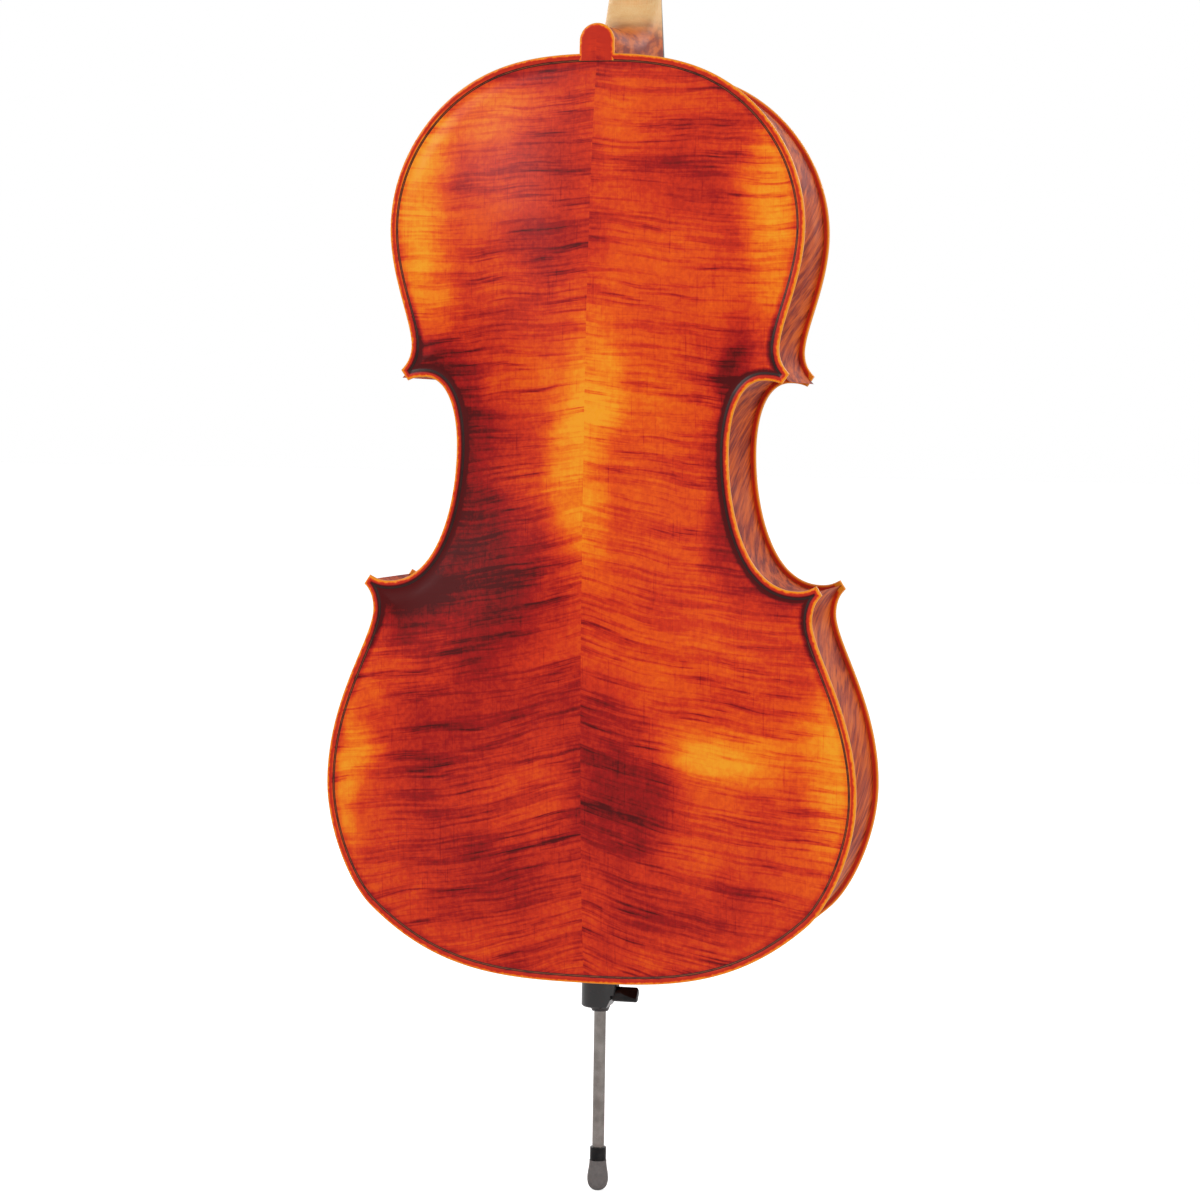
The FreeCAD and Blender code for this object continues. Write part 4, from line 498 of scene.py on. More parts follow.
def bump(tree, height, strength, distance):
    """A surface normal that leans with a height."""
    made = put(tree, "ShaderNodeBump", Strength=strength, Distance=distance, Height=height)
    return made.outputs["Normal"]


# Flame: the curl of maple, seen as thin uneven stripes. Place is in metres, with X across the
# board from the seam and Z along it. Stripes fall away from the seam by Slope.
flame, given, gives = group(
    "maple_flame",
    [("Place", "v", None), ("Slope", "f", 0.24)],
    [("Stripes", "f"), ("Streaks", "f"), ("Grain", "f")])
axes = split(flame, given["Place"])
away = calc(flame, "ABSOLUTE", axes[0])
sag = calc(flame, "MULTIPLY", calc(flame, "MULTIPLY", away, away), -0.45)
fall = calc(flame, "MULTIPLY_ADD", away, given["Slope"], sag)
wander = noise(flame, given["Place"], 9.0, 2.0)
wander = calc(flame, "MULTIPLY_ADD", wander, 0.020, -0.010)
line = calc(flame, "ADD", calc(flame, "ADD", axes[2], fall), wander)
hand = calc(flame, "MULTIPLY", calc(flame, "SIGN", axes[0]), 0.35)


def stretched(tree, along, along_scale, line, line_scale, seed):
    """A place for marks that are long one way and thin the other."""
    return put(tree, "ShaderNodeCombineXYZ", X=calc(tree, "MULTIPLY", along, along_scale), Y=seed,
               Z=calc(tree, "MULTIPLY", line, line_scale)).outputs[0]


wide = noise(flame, stretched(flame, away, 9.0, line, 95.0, hand), 1.0, 2.0, 0.5)
thin = noise(flame, stretched(flame, away, 20.0, line, 360.0, hand), 1.0, 2.0, 0.55)
hair = noise(flame, stretched(flame, away, 40.0, line, 900.0, hand), 1.0, 2.0, 0.6)
patchy = span(flame, noise(flame, given["Place"], 15.0, 2.0), 0.38, 0.62, 0.25, 1.0)
body = calc(flame, "ADD", calc(flame, "MULTIPLY", wide, 0.45), calc(flame, "MULTIPLY", thin, 0.55))
flame.links.new(span(flame, body, 0.42, 0.60), gives["Stripes"])
dark = calc(flame, "ADD", calc(flame, "MULTIPLY", thin, 0.7), calc(flame, "MULTIPLY", hair, 0.3))
dark = calc(flame, "MULTIPLY", span(flame, dark, 0.54, 0.68), span(flame, wide, 0.40, 0.56))
flame.links.new(calc(flame, "MULTIPLY", dark, patchy), gives["Streaks"])
fibre = noise(flame, stretch(flame, given["Place"], (1400, 300, 22)), 1.0, 2.0, 0.6)
flame.links.new(fibre, gives["Grain"])

# A worn or a dark place in the varnish: an oval with a soft edge, 1 in its middle.
place_mask, given, gives = group(
    "varnish_place",
    [("Place", "v", None), ("Middle", "v", None), ("Size", "v", (1, 1, 1))], [("Mask", "f")])
offset = put(place_mask, "ShaderNodeVectorMath", use_operation="SUBTRACT",
             _0=given["Place"], _1=given["Middle"]).outputs[0]
offset = put(place_mask, "ShaderNodeVectorMath", use_operation="DIVIDE",
             _0=offset, _1=given["Size"]).outputs[0]
reach = put(place_mask, "ShaderNodeVectorMath", use_operation="LENGTH", _0=offset).outputs["Value"]
place_mask.links.new(span(place_mask, reach, 1.25, 0.15), gives["Mask"])

# The varnish by its depth of colour: 0 is worn gold, 1 is nearly black red.
varnish, given, gives = group("oil_varnish", [("Depth", "f", 0.5)], [("Color", "c")])
varnish.links.new(ramp(varnish, given["Depth"],
                       (0.0, srgb(255, 164, 34)), (0.18, srgb(252, 130, 20)), (0.36, srgb(240, 88, 18)),
                       (0.54, srgb(216, 52, 22)), (0.74, srgb(168, 20, 18)), (1.0, srgb(84, 4, 6))),
                  gives["Color"])

# Worn and dark places of the back: across, up the body, half-width, half-height, and how much
# deeper the colour is there, or lighter where the number is below zero.
BACK_PLACES = [
    (4, 432, 28, 104, -0.38), (-12, 500, 24, 50, -0.14), (150, 640, 30, 120, -0.46),
    (95, 706, 60, 26, -0.20), (-150, 640, 24, 120, -0.36), (-46, 440, 40, 90, -0.10),
    (-80, 655, 48, 34, 0.20), (42, 604, 50, 24, 0.22), (30, 672, 40, 50, 0.12),
    (82, 660, 44, 26, 0.10), (112, 438, 44, 92, 0.44), (140, 508, 26, 24, 0.28),
    (160, 312, 44, 26, 0.34), (-130, 512, 34, 34, 0.22), (-120, 430, 20, 90, 0.44),
    (-156, 326, 36, 20, 0.22), (104, 318, 84, 60, 0.34), (52, 350, 50, 56, 0.14),
    (-34, 150, 50, 52, 0.34), (20, 214, 76, 44, 0.20), (130, 200, 50, 48, 0.24),
    (-116, 196, 54, 28, -0.46), (200, 160, 20, 90, -0.36), (-206, 180, 26, 92, -0.36),
    (120, 100, 90, 60, 0.14), (10, 60, 90, 44, 0.10), (-99, 64, 60, 34, 0.18),
    (90, 96, 60, 40, 0.10), (60, 250, 50, 40, 0.10), (20, 738, 70, 12, 0.16),
]
SOFTNESS = 1.25
back_maple, tree, shader, place = finish("flamed_maple_back")
edge = put(tree, "ShaderNodeAttribute", use_attribute_name="edge").outputs["Fac"]
height_up = split(tree, place)[2]
slope = span(tree, height_up, (BODY_FOOT + 150) * MM, (BODY_FOOT + 620) * MM, 0.30, 0.12)
figure = use(tree, flame, Place=place, Slope=slope)
smear = put(tree, "ShaderNodeTexNoise", Vector=place, Scale=14.0, Detail=5.0)
smear = put(tree, "ShaderNodeVectorMath", use_operation="MULTIPLY_ADD", _0=smear.outputs["Color"],
            _1=(0.07, 0.0, 0.05), _2=(-0.035, 0.0, -0.025))
smeared = put(tree, "ShaderNodeVectorMath", use_operation="ADD", _0=place, _1=smear.outputs[0])
flat = stretch(tree, smeared.outputs[0], (1, 0, 1))
depth = 0.50
for x, rise, half_width, half_height, amount in BACK_PLACES:
    mask = use(tree, place_mask, Place=flat, Middle=(x * MM, 0, (BODY_FOOT + rise) * MM),
               Size=(half_width * SOFTNESS * MM, 1, half_height * SOFTNESS * MM))["Mask"]
    depth = calc(tree, "MULTIPLY_ADD", mask, amount, depth)
blotch = noise(tree, place, 16.0, 4.0, 0.62)
depth = calc(tree, "ADD", depth, calc(tree, "MULTIPLY_ADD", blotch, 0.5, -0.25))
depth = calc(tree, "ADD", depth, calc(tree, "MULTIPLY_ADD", figure["Stripes"], 0.16, -0.08))
depth = calc(tree, "MULTIPLY_ADD", figure["Streaks"], 0.30, depth)
depth = calc(tree, "ADD", depth, calc(tree, "MULTIPLY_ADD", figure["Grain"], 0.10, -0.05))
mottle = noise(tree, place, 260.0, 2.0, 0.6)
hairline = noise(tree, stretch(tree, place, (700, 10, 26)), 1.0, 3.0, 0.65)
depth = calc(tree, "MULTIPLY_ADD", span(tree, hairline, 0.58, 0.74), 0.12, depth)
depth = calc(tree, "SUBTRACT", depth, 0.04)
depth = calc(tree, "MULTIPLY_ADD", span(tree, mottle, 0.35, 0.65), 0.08, depth)
nick = noise(tree, stretch(tree, place, (110, 60, 80)), 1.0, 4.0, 0.7, 1.4)
depth = calc(tree, "MULTIPLY_ADD", span(tree, nick, 0.735, 0.77), 0.6, depth)
# Painted highlight and wear: the outer rim is painted lighter, partly worn varnish and partly a painted
# highlight along the rounded edge.
rim = span(tree, edge, 5.2, 3.2)
border = span(tree, calc(tree, "MULTIPLY_ADD", mottle, 3.0, edge), 2.2, 4.4, 0.05, 0.62)
depth = blend(tree, rim, depth, border)
hollow = calc(tree, "MULTIPLY", span(tree, edge, 3.6, 5.4), span(tree, edge, 12.0, 6.8))
from_waist = calc(tree, "ABSOLUTE", calc(tree, "SUBTRACT", height_up, (BODY_FOOT + WAIST_LINE) * MM))
waist = span(tree, from_waist, 0.19, 0.10)
shadow = calc(tree, "MULTIPLY", hollow, calc(tree, "MULTIPLY_ADD", waist, 0.42, 0.14))
depth = calc(tree, "ADD", depth, shadow, clamp=True)
colour = use(tree, varnish, Depth=depth)["Color"]
height = calc(tree, "MULTIPLY", figure["Stripes"], 0.25)
height = calc(tree, "MULTIPLY_ADD", figure["Grain"], 0.35, height)
wire(tree, shader, Base_Color=colour, Roughness=span(tree, blotch, 0.3, 0.7, 0.26, 0.36),
     Coat_Weight=0.12, Coat_Roughness=0.16, Specular_IOR_Level=0.12,
     Normal=bump(tree, height, 0.10, 0.0006))
for made in backs:
    made.data.materials.append(back_maple)

# ---------------------------------------------------------------------------------------------
# Purfling: three thin plies of wood, black, pale and black, glued into a groove that runs round
# both plates just inside the edge.
PURFLING_SECTION = [
    (5.0, -1.6), (5.0, 0.02), (5.3, 0.07), (5.9, 0.09), (6.5, 0.07), (6.8, 0.02), (6.8, -1.6),
]


def purfling_ring(name, face):
    """The inlay all the way round one plate: face +1 is the back and -1 is the top."""
    points, faces, edge, rings = [], [], [], []
    for inset, height in PURFLING_SECTION:
        half = one_line(outline(inset))
        loop = np.vstack([half, half[-2:0:-1] * (-1, 1)])
        level = EDGE_PLANE + arch(loop[:, 0], loop[:, 1]) - channel(inset) + height
        rings.append(len(points))
        points.extend(zip(loop[:, 0], level * face, BODY_FOOT + loop[:, 1]))
        edge.extend([inset] * len(loop))
    count = len(loop)
    for k, first in enumerate(rings):
        second = rings[(k + 1) % len(rings)]
        faces.extend((first + j, first + (j + 1) % count, second + (j + 1) % count, second + j)
                     for j in range(count))
    made = mesh_object(name, points, faces, "instrument", edge=edge)
    return made


purfling, tree, shader, place = finish("purfling_plies")
edge = put(tree, "ShaderNodeAttribute", use_attribute_name="edge").outputs["Fac"]
middle = calc(tree, "MULTIPLY", span(tree, edge, 5.52, 5.72), span(tree, edge, 6.28, 6.08))
# Painted shade: the pale middle ply is darkened in the C-bouts, round the waist.
rise = calc(tree, "SUBTRACT", split(tree, place)[2], (BODY_FOOT + WAIST_LINE) * MM)
waist_shade = span(tree, calc(tree, "ABSOLUTE", rise), 0.17, 0.10)
pale = calc(tree, "MULTIPLY", middle, calc(tree, "MULTIPLY_ADD", waist_shade, -0.8, 0.9))
uneven = noise(tree, place, 120.0, 3.0)
wire(tree, shader, Base_Color=blend(tree, calc(tree, "MULTIPLY", pale, span(tree, uneven, 0.2, 0.6)),
                                    srgb(34, 6, 6), srgb(158, 74, 24)),
     Roughness=span(tree, uneven, 0.3, 0.7, 0.3, 0.45), Coat_Weight=0.2, Coat_Roughness=0.15,
     Specular_IOR_Level=0.2, Normal=bump(tree, uneven, 0.1, 0.0003))
for name, face in (("back_purfling_plies", 1), ("top_purfling_plies", -1)):
    made = purfling_ring(name, face)
    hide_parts(name[:-6])
    made.data.materials.append(purfling)


# ---------------------------------------------------------------------------------------------
# Ribs: six strips of flamed maple, 2 mm thick, bent over a hot iron and glued to the corner and
# end blocks. Linings glued inside widen their edges; blocks and linings are bare spruce.
def coat(material, *names):
    """Gives CAD nodes a material."""
    for name in names:
        for material_slot in nodes[name].material_slots:
            material_slot.material = material


ribs, tree, shader, place = finish("flamed_maple_ribs")
axes = split(tree, place)
slanted = calc(tree, "MULTIPLY_ADD", axes[1], 0.42, axes[2])
strip = put(tree, "ShaderNodeCombineXYZ", X=axes[0], Y=calc(tree, "MULTIPLY", axes[1], 0.09),
            Z=slanted).outputs[0]
wide = noise(tree, strip, 120.0, 2.0, 0.5)
thin = noise(tree, strip, 340.0, 3.0, 0.6)
grain = noise(tree, stretch(tree, place, (30, 1500, 30)), 1.0, 2.0, 0.6)
blotch = noise(tree, place, 12.0, 3.0, 0.6)
# Painted shade: the ribs are darkened within 9 mm of each plate, where the plates' edges overhang them.
overhang_shade = span(tree, calc(tree, "ABSOLUTE", axes[1]), (RIB_PLANE - 9) * MM, RIB_PLANE * MM)
depth = calc(tree, "MULTIPLY_ADD", span(tree, wide, 0.35, 0.65), 0.26, 0.36)
depth = calc(tree, "MULTIPLY_ADD", span(tree, thin, 0.45, 0.7), 0.22, depth)
depth = calc(tree, "ADD", depth, calc(tree, "MULTIPLY_ADD", blotch, 0.5, -0.25))
depth = calc(tree, "ADD", depth, calc(tree, "MULTIPLY_ADD", grain, 0.12, -0.06))
depth = calc(tree, "MULTIPLY_ADD", overhang_shade, 0.22, depth, clamp=True)
tint = use(tree, varnish, Depth=depth)["Color"]
brown = blend(tree, span(tree, calc(tree, "ADD", wide, calc(tree, "MULTIPLY", thin, 0.5)), 0.55, 0.95),
              srgb(196, 100, 28), srgb(92, 34, 12))
height = calc(tree, "MULTIPLY_ADD", grain, 0.4, wide)
wire(tree, shader, Base_Color=blend(tree, 0.62, tint, brown),
     Roughness=span(tree, blotch, 0.3, 0.7, 0.36, 0.5), Specular_IOR_Level=0.03,
     Normal=bump(tree, height, 0.12, 0.0006))
for half in ("bass", "treble"):
    coat(ribs, f"rib_upper_{half}", f"rib_waist_{half}", f"rib_lower_{half}")

# Straight wood grain: fine lines that run along one way of the piece. Scales are marks per metre
# across, through and along the grain.
straight_grain, given, gives = group(
    "straight_grain",
    [("Place", "v", None), ("Scale", "v", (600, 600, 6)), ("Sharpness", "f", 0.5)], [("Lines", "f")])
lines = noise(straight_grain, stretch(straight_grain, given["Place"], given["Scale"]), 1.0, 3.0, 0.6)
low = calc(straight_grain, "MULTIPLY", given["Sharpness"], 0.45)
high = calc(straight_grain, "SUBTRACT", 1.0, low)
straight_grain.links.new(span(straight_grain, lines, low, high), gives["Lines"])

inner_wood, tree, shader, place = finish("bare_spruce")
lines = use(tree, straight_grain, Place=place, Scale=(420, 420, 7), Sharpness=0.6)["Lines"]
cloud = noise(tree, place, 30.0, 3.0)
shade = calc(tree, "MULTIPLY_ADD", lines, 0.7, calc(tree, "MULTIPLY", cloud, 0.3))
wire(tree, shader, Base_Color=blend(tree, shade, srgb(214, 176, 122), srgb(168, 118, 70)),
     Roughness=span(tree, cloud, 0.3, 0.7, 0.6, 0.8), Specular_IOR_Level=0.25,
     Normal=bump(tree, lines, 0.25, 0.0004))
coat(inner_wood, "top_block", "bottom_block", "corner_blocks", "top_linings", "back_linings",
     "bass_bar", "sound_post")

# ---------------------------------------------------------------------------------------------
# Top: two wedges of close-grained spruce, arched like the back, with an f-shaped sound hole each
# side of the bridge: a slanting slit between two round eyes, with a small nick on either side
# that marks the line of the bridge.
BRIDGE_LINE = 0.47 * BODY_LENGTH
F_LINE = [
    [(51, 50), (54, 66), (70, 72), (73, 50)],
    [(73, 50), (75, 34), (75.5, 16), (77, 0)],
    [(77, 0), (78.5, -18), (79, -36), (82, -51)],
    [(82, -51), (85, -76), (104, -72), (106.5, -51)],
]
F_UPPER_EYE = (54, 46, 6.2)
F_LOWER_EYE = (102, -47, 8.0)
F_HALF_WIDTH = (1.6, 3.6)
F_NICK = 2.6


def round_the_eye(eye, start, end, other):
    """Points round an eye from one side of the slit to the other, the way that keeps off the slit."""
    x, z, radius = eye
    first = math.atan2(start[1] - z, start[0] - x)
    last = math.atan2(end[1] - z, end[0] - x)
    slit = math.atan2(other[1] - z, other[0] - x)
    turn = (last - first) % (2 * math.pi)
    if 0 < (slit - first) % (2 * math.pi) < turn:
        turn -= 2 * math.pi
    angles = first + turn * np.linspace(0, 1, 22)
    return np.column_stack([x + radius * np.cos(angles), z + radius * np.sin(angles)])


def f_hole():
    """The sound hole on the treble half as one closed line, across and up the body."""
    line = evenly(moved_in(F_LINE, 0.0, 24), 90)
    way = np.gradient(line, axis=0)
    way /= np.linalg.norm(way, axis=1)[:, None]
    share = np.linspace(0, 1, len(line))
    half = F_HALF_WIDTH[0] + (F_HALF_WIDTH[1] - F_HALF_WIDTH[0]) * np.sin(math.pi * share) ** 1.4
    across = np.column_stack([way[:, 1], -way[:, 0]])
    sides = []
    for sign in (1, -1):
        side = line + sign * across * half[:, None]
        clear = np.ones(len(side), bool)
        for x, z, radius in (F_UPPER_EYE, F_LOWER_EYE):
            clear &= np.hypot(side[:, 0] - x, side[:, 1] - z) > radius + 0.15
        middle = int(np.argmin(np.abs(side[:, 1])))
        start = middle - int(np.argmin(clear[middle::-1])) + 1 if not clear[:middle].all() else 0
        end = middle + int(np.argmin(clear[middle:])) if not clear[middle:].all() else len(side)
        at = middle - start
        side = side[start:end]
        nick = side[at] + sign * across[middle] * F_NICK
        sides.append(np.vstack([side[: at - 1], nick, side[at + 2:]]))
    right_side, left_side = sides
    low_end, high_end = (right_side[-1] + left_side[-1]) / 2, (right_side[0] + left_side[0]) / 2
    lower = round_the_eye(F_LOWER_EYE, right_side[-1], left_side[-1], low_end)
    upper = round_the_eye(F_UPPER_EYE, left_side[0], right_side[0], high_end)
    loop = np.vstack([right_side, lower[1:-1], left_side[::-1], upper[1:-1]])
    return loop + (0, BRIDGE_LINE)


spruce, tree, shader, place = finish("varnished_spruce_top")
edge = put(tree, "ShaderNodeAttribute", use_attribute_name="edge").outputs["Fac"]
lines = use(tree, straight_grain, Place=place, Scale=(560, 40, 3.5), Sharpness=0.62)["Lines"]
medullary = noise(tree, stretch(tree, place, (90, 60, 900)), 1.0, 2.0, 0.6)
blotch = noise(tree, place, 9.0, 3.0, 0.6)
worn = use(tree, place_mask, Place=place, Middle=(0, -0.08, (BODY_FOOT + 380) * MM),
           Size=(0.10, 0.2, 0.17))["Mask"]
depth = calc(tree, "MULTIPLY_ADD", lines, 0.30, calc(tree, "MULTIPLY_ADD", blotch, 0.5, 0.02))
depth = calc(tree, "MULTIPLY_ADD", worn, -0.12, depth)
depth = calc(tree, "ADD", depth, calc(tree, "MULTIPLY_ADD", medullary, 0.10, -0.05))
# Painted highlight and wear: the outer rim is painted lighter, partly worn varnish and partly a painted
# highlight along the rounded edge.
rim = span(tree, edge, 5.2, 3.2)
border = span(tree, calc(tree, "MULTIPLY_ADD", blotch, 1.0, edge), 1.2, 3.4, 0.05, 0.62)
depth = blend(tree, rim, depth, border)
# Painted shade: the channel round the edge is darkened.
hollow = calc(tree, "MULTIPLY", span(tree, edge, 3.6, 5.4), span(tree, edge, 12.0, 6.8))
depth = calc(tree, "MULTIPLY_ADD", hollow, 0.2, depth, clamp=True)
tint = use(tree, varnish, Depth=depth)["Color"]
facing = split(tree, put(tree, "ShaderNodeNewGeometry").outputs["Normal"])[1]
inward = span(tree, calc(tree, "ABSOLUTE", facing), 0.35, 0.1)
bare = calc(tree, "MULTIPLY", inward, span(tree, edge, 0.9, 0.4))
wire(tree, shader, Base_Color=blend(tree, calc(tree, "MULTIPLY", bare, 0.5), tint, srgb(196, 130, 70)),
     Roughness=span(tree, blotch, 0.3, 0.7, 0.28, 0.4), Coat_Weight=0.3, Coat_Roughness=0.14,
     Specular_IOR_Level=0.25, Normal=bump(tree, lines, 0.12, 0.0004))
hole = f_hole()
for side, half in ((1, "treble"), (-1, "bass")):
    points, faces, edge = plate_half(side, -1, holes=(hole,))
    made = mesh_object(f"top_{half}", points, faces, "instrument", edge=edge)
    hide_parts(f"top_{half}_half")
    made.data.materials.append(spruce)

# ---------------------------------------------------------------------------------------------
# Neck and scroll: one piece of maple, let into the top block and glued under the button. The
# handle is left bare and oiled; heel, pegbox and scroll are varnished like the body.
VARNISH_LEAVES = (BODY_FOOT + BODY_LENGTH + 56, BODY_FOOT + BODY_LENGTH + 30)
VARNISH_RETURNS = (1196, 1224)
neck, tree, shader, place = finish("neck_maple")
axes = split(tree, place)
flat_flame = put(tree, "ShaderNodeCombineXYZ", X=calc(tree, "MULTIPLY", axes[0], 0.3),
                 Y=calc(tree, "MULTIPLY", axes[1], 0.3),
                 Z=calc(tree, "MULTIPLY_ADD", axes[1], 0.15, axes[2]))
curl = noise(tree, flat_flame.outputs[0], 150.0, 2.0, 0.5)
streak = noise(tree, flat_flame.outputs[0], 420.0, 3.0, 0.6)
lines = use(tree, straight_grain, Place=place, Scale=(900, 900, 14), Sharpness=0.5)["Lines"]
blotch = noise(tree, place, 26.0, 3.0, 0.6)
wavering = calc(tree, "MULTIPLY_ADD", blotch, 0.016, axes[2])
leaving, arriving = (span(tree, wavering, start * MM, end * MM)
                     for start, end in (VARNISH_LEAVES, VARNISH_RETURNS))
varnished = calc(tree, "MAXIMUM", leaving, arriving)
depth = calc(tree, "MULTIPLY_ADD", span(tree, curl, 0.35, 0.65), 0.3, 0.34)
depth = calc(tree, "MULTIPLY_ADD", streak, 0.3, calc(tree, "SUBTRACT", depth, 0.12))
depth = calc(tree, "ADD", depth, calc(tree, "MULTIPLY_ADD", blotch, 0.6, -0.3), clamp=True)
worn_brown = blend(tree, span(tree, curl, 0.35, 0.65), srgb(206, 112, 36), srgb(118, 50, 18))
figure = calc(tree, "MULTIPLY_ADD", curl, 0.7, calc(tree, "MULTIPLY", lines, 0.3))
oiled = blend(tree, figure, srgb(255, 226, 172), srgb(240, 178, 108))
coated = blend(tree, 0.75, use(tree, varnish, Depth=depth)["Color"], worn_brown)
wire(tree, shader, Base_Color=blend(tree, varnished, oiled, coated),
     Roughness=span(tree, blotch, 0.3, 0.7, 0.36, 0.5), Specular_IOR_Level=0.05,
     Coat_Weight=calc(tree, "MULTIPLY", varnished, 0.03), Coat_Roughness=0.2,
     Normal=bump(tree, calc(tree, "ADD", curl, calc(tree, "MULTIPLY", lines, 0.5)), 0.08, 0.0005))
coat(neck, "neck_and_scroll")

# ---------------------------------------------------------------------------------------------
# Fingerboard, nut, saddle and pegs: solid ebony, planed or turned, rubbed to a low polish.
ebony, tree, shader, place = finish("ebony")
lines = use(tree, straight_grain, Place=place, Scale=(1500, 1500, 26), Sharpness=0.7)["Lines"]
cloud = noise(tree, place, 60.0, 3.0, 0.6)
wire(tree, shader, Base_Color=blend(tree, calc(tree, "MULTIPLY", lines, span(tree, cloud, 0.35, 0.75)),
                                    srgb(17, 14, 13), srgb(56, 40, 31)),
     Roughness=span(tree, cloud, 0.3, 0.7, 0.32, 0.5), Specular_IOR_Level=0.4,
     Normal=bump(tree, lines, 0.12, 0.0003))
coat(ebony, "fingerboard", "nut", "saddle", *(f"peg_{letter}" for letter in "cgda"))

# ---------------------------------------------------------------------------------------------
# Tailpiece and endpin socket: moulded black composite with a fine satin texture. The tailpiece
# has its four tuners built in, and hangs from the saddle by a loop of woven cord.
composite, tree, shader, place = finish("black_composite")
pebble = noise(tree, place, 1800.0, 2.0, 0.6)
handled = noise(tree, place, 45.0, 3.0, 0.6)
wire(tree, shader, Base_Color=blend(tree, handled, srgb(22, 20, 21), srgb(36, 33, 33)),
     Roughness=span(tree, handled, 0.3, 0.7, 0.16, 0.30), Specular_IOR_Level=0.5, Coat_Weight=0.3,
     Coat_Roughness=0.08, Normal=bump(tree, pebble, 0.06, 0.0002))
coat(composite, "tailpiece", "endpin_socket")

cord, tree, shader, place = finish("tail_cord")
weave = put(tree, "ShaderNodeTexWave", use_bands_direction="DIAGONAL", Vector=place, Scale=620.0,
            Distortion=1.2)
fuzz = noise(tree, place, 3000.0, 2.0)
strands = weave.outputs["Fac"]
wire(tree, shader, Base_Color=blend(tree, strands, srgb(18, 17, 18), srgb(58, 55, 54)),
     Roughness=span(tree, fuzz, 0.2, 0.8, 0.6, 0.8), Normal=bump(tree, strands, 0.5, 0.0003))
coat(cord, "tail_gut")

# Worn metal: scratches along a chosen way and cloudy patches from handling.
worn_metal, given, gives = group(
    "worn_metal",
    [("Place", "v", None), ("Scale", "v", (900, 900, 30)), ("Base", "f", 0.25),
     ("Spread", "f", 0.2)],
    [("Roughness", "f"), ("Scratches", "f"), ("Cloud", "f")])
scratches = noise(worn_metal, stretch(worn_metal, given["Place"], given["Scale"]), 1.0, 3.0, 0.7)
cloud = noise(worn_metal, given["Place"], 70.0, 4.0, 0.6)
mixed = calc(worn_metal, "MULTIPLY", calc(worn_metal, "ADD", scratches, cloud), 0.5)
rough = calc(worn_metal, "MULTIPLY_ADD", mixed, given["Spread"], given["Base"])
worn_metal.links.new(rough, gives["Roughness"])
worn_metal.links.new(scratches, gives["Scratches"])
worn_metal.links.new(cloud, gives["Cloud"])


def metal(name, dark, light, metallic, base, spread, scale, strength):
    """A material for handled metal, cloudy between a dark and a light colour."""
    made, tree, shader, place = finish(name)
    wear = use(tree, worn_metal, Place=place, Scale=scale, Base=base, Spread=spread)
    wire(tree, shader, Base_Color=blend(tree, span(tree, wear["Cloud"], 0.3, 0.7), dark, light),
         Metallic=metallic, Roughness=wear["Roughness"],
         Normal=bump(tree, wear["Scratches"], strength, 0.0002))
    return made


black_metal = metal("blackened_metal", srgb(20, 19, 20), srgb(44, 42, 42), 0.7, 0.26, 0.2,
                    (900, 900, 900), 0.06)
brass = metal("brass", srgb(176, 132, 58), srgb(216, 176, 92), 1.0, 0.2, 0.25, (900, 900, 200), 0.06)
coat(black_metal, "tuner_pins", *(f"tuner_screw_{letter}" for letter in "cgda"),
     *(f"tuner_lever_{letter}" for letter in "cgda"))
coat(brass, "tail_gut_nuts")

# ---------------------------------------------------------------------------------------------
# Bridge: a thin slab of flecked maple, cut through with a heart and kidneys, that stands
# unglued on the top and is held there by the strings.
bridge_maple, tree, shader, place = finish("bridge_maple")
lines = use(tree, straight_grain, Place=place, Scale=(26, 900, 900), Sharpness=0.5)["Lines"]
fleck = noise(tree, stretch(tree, place, (260, 900, 260)), 1.0, 2.0, 0.6)
cloud = noise(tree, place, 40.0, 3.0)
pale = blend(tree, lines, srgb(226, 186, 132), srgb(192, 144, 92))
wire(tree, shader, Base_Color=blend(tree, span(tree, fleck, 0.56, 0.72), pale, srgb(150, 98, 56)),
     Roughness=span(tree, cloud, 0.3, 0.7, 0.42, 0.6), Specular_IOR_Level=0.3,
     Normal=bump(tree, fleck, 0.1, 0.0003))
coat(bridge_maple, "bridge")

# ---------------------------------------------------------------------------------------------
# Strings: steel ropes wound with flat ribbon, four of them, from their ball ends in the
# tuners' forks over the bridge and the nut to the pegs.
string_steel, tree, shader, place = finish("wound_steel_string")
ribbon = put(tree, "ShaderNodeTexWave", Vector=place, Scale=520.0, use_bands_direction="Z")
tarnish = noise(tree, place, 35.0, 3.0, 0.6)
wire(tree, shader, Base_Color=blend(tree, tarnish, srgb(196, 196, 198), srgb(146, 142, 138)),
     Metallic=1.0, Roughness=span(tree, tarnish, 0.3, 0.7, 0.2, 0.36),
     Normal=bump(tree, ribbon.outputs["Fac"], 0.3, 0.0001))
for letter in "cgda":
    coat(string_steel, f"string_{letter}", f"string_{letter}_winding", f"string_{letter}_ball")

# ---------------------------------------------------------------------------------------------
# Endpin: a grey steel rod that slides in the socket and is clamped by a black thumb screw. Its
# foot is a blackened ferrule with a worn rubber tip pushed over the spike.
rod_steel = metal("endpin_steel", srgb(132, 125, 120), srgb(160, 154, 149), 1.0, 0.12, 0.2,
                  (1500, 1500, 24), 0.08)
coat(rod_steel, "endpin_rod")
coat(black_metal, "endpin_ferrule", "endpin_thumb_screw")
rubber, tree, shader, place = finish("worn_rubber")
scuff = noise(tree, place, 260.0, 4.0, 0.65)
pit = noise(tree, place, 1600.0, 2.0, 0.6)
wire(tree, shader, Base_Color=blend(tree, scuff, srgb(82, 78, 77), srgb(134, 128, 126)),
     Roughness=span(tree, scuff, 0.3, 0.7, 0.6, 0.85), Specular_IOR_Level=0.25,
     Normal=bump(tree, pit, 0.3, 0.0004))
coat(rubber, "endpin_tip")

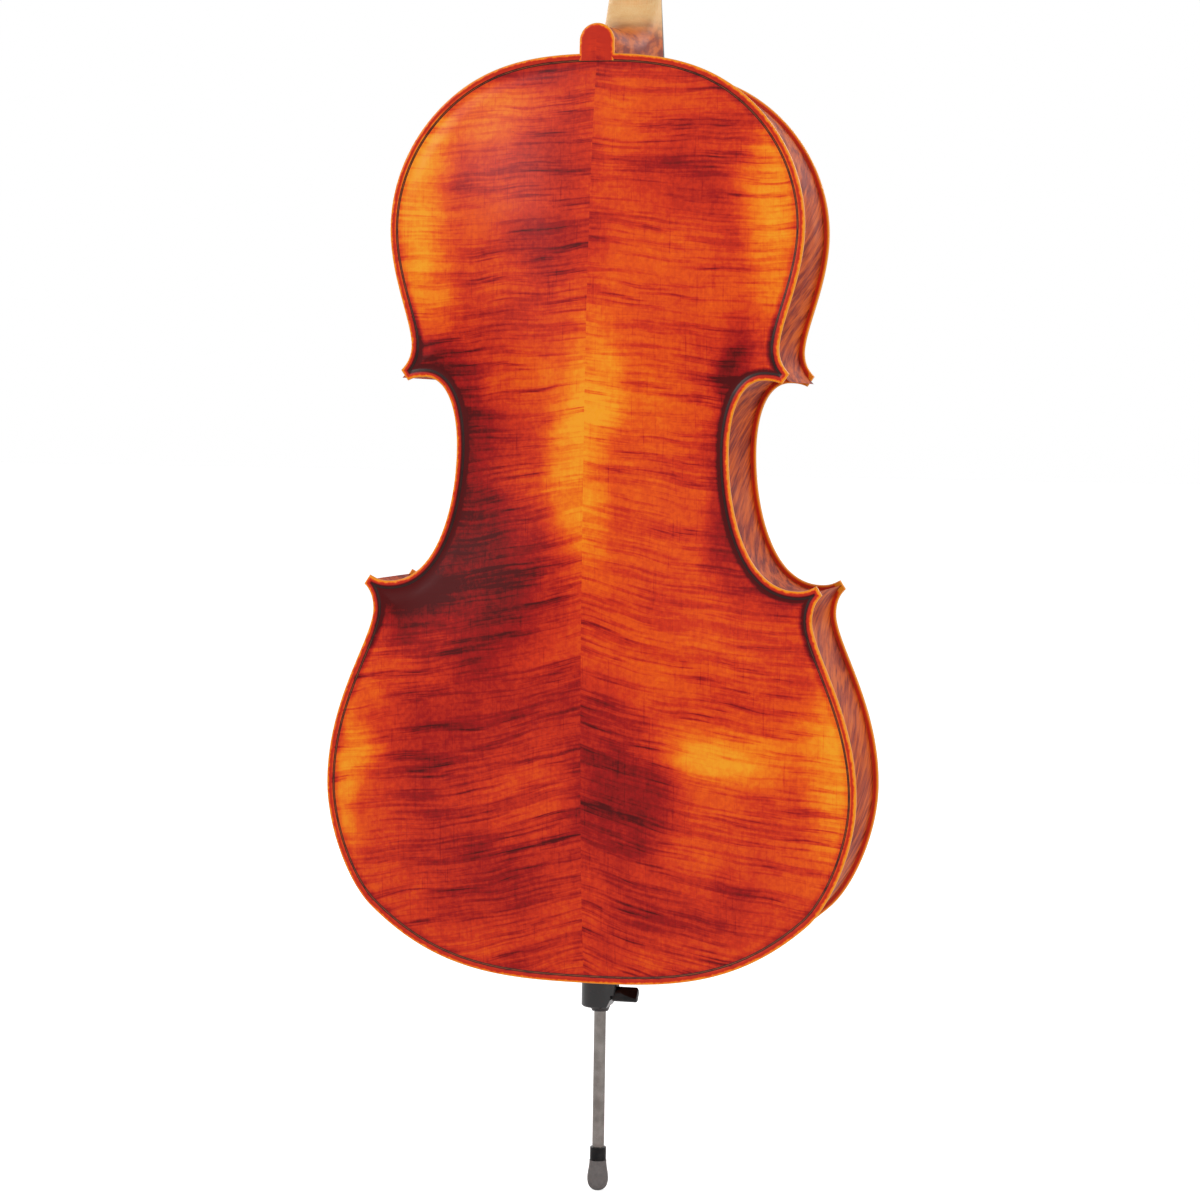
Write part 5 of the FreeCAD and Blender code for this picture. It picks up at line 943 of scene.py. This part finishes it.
# ---------------------------------------------------------------------------------------------
# Studio: a pale floor and a white surrounding under soft light from four large lamps, and the
# camera, which stands behind the cello a little to its bass side.
YAW, PITCH, ROLL = math.radians(13.80), math.radians(3.15), math.radians(0.84)
AIM = Vector((5.3, 0.0, 495.9)) * MM
CAMERA_DISTANCE = 2.580
FILM_WIDTH, LENS = 36.0, 93.03
FLOOR_REACH, FLOOR_GLOW, SKY_LIGHT = 40, 0.66, 0.45
turn = math.pi + YAW
towards_camera = Vector((math.sin(turn) * math.cos(PITCH), -math.cos(turn) * math.cos(PITCH),
                         math.sin(PITCH)))
ahead = -towards_camera
right = ahead.cross(Vector((0, 0, 1))).normalized()
up = right.cross(ahead)
rolled_right = math.cos(ROLL) * right + math.sin(ROLL) * up
rolled_up = -math.sin(ROLL) * right + math.cos(ROLL) * up
camera = bpy.data.objects.new("camera", bpy.data.cameras.new("camera"))
camera.data.sensor_width = FILM_WIDTH
camera.data.lens = LENS
stand = AIM + towards_camera * CAMERA_DISTANCE
camera.matrix_world = Matrix(
    [*zip(rolled_right, rolled_up, towards_camera, stand), (0, 0, 0, 1)])
bpy.context.scene.collection.objects.link(camera)
bpy.context.scene.camera = camera

floor = bpy.data.objects.new("floor", bpy.data.meshes.new("floor"))
corners = [(x * FLOOR_REACH, y * FLOOR_REACH, 0) for x, y in ((-1, -1), (1, -1), (1, 1), (-1, 1))]
floor.data.from_pydata(corners, [], [(0, 1, 2, 3)])
bpy.context.scene.collection.objects.link(floor)
floor_paint = bpy.data.materials.new("pale_floor")
floor_paint.use_nodes = True
tree = floor_paint.node_tree
paint = tree.nodes["Principled BSDF"]
looked_at = put(tree, "ShaderNodeLightPath").outputs["Is Camera Ray"]
wire(tree, paint, Base_Color=(0.86, 0.86, 0.86, 1), Roughness=0.8, Emission_Color=(1, 1, 1, 1),
     Emission_Strength=calc(tree, "MULTIPLY", looked_at, FLOOR_GLOW))
floor.data.materials.append(floor_paint)

world = bpy.data.worlds.new("studio")
bpy.context.scene.world = world
world.use_nodes = True
sky = world.node_tree
for old in list(sky.nodes):
    sky.nodes.remove(old)
rays = put(sky, "ShaderNodeLightPath")
soft = put(sky, "ShaderNodeBackground", Color=(1, 1, 1, 1), Strength=SKY_LIGHT)
white = put(sky, "ShaderNodeBackground", Color=(1, 1, 1, 1), Strength=1.0)
seen = calc(sky, "MAXIMUM", rays.outputs["Is Camera Ray"], rays.outputs["Is Glossy Ray"])
mixed = put(sky, "ShaderNodeMixShader", _0=seen, _1=soft.outputs[0], _2=white.outputs[0])
put(sky, "ShaderNodeOutputWorld", Surface=mixed.outputs[0])


def lamp(name, place, aim, size, watts):
    """A soft box of light that faces a point."""
    light = bpy.data.lights.new(name, "AREA")
    light.shape = "RECTANGLE"
    light.size, light.size_y = size
    light.energy = watts
    made = bpy.data.objects.new(name, light)
    made.location = place
    made.rotation_euler = (Vector(aim) - Vector(place)).to_track_quat("-Z", "Y").to_euler()
    bpy.context.scene.collection.objects.link(made)


lamp("key", (1.9, 2.4, 2.2), (0, 0, 0.6), (1.6, 1.6), 34)
lamp("fill", (-2.6, 1.8, 1.2), (0, 0, 0.6), (1.4, 2.0), 24)
lamp("front_key", (-1.8, -2.6, 2.4), (0, 0, 0.7), (1.6, 1.6), 34)
lamp("front_fill", (2.4, -2.0, 1.3), (0, 0, 0.7), (1.4, 2.0), 24)

bpy.context.scene.view_settings.view_transform = "Standard"
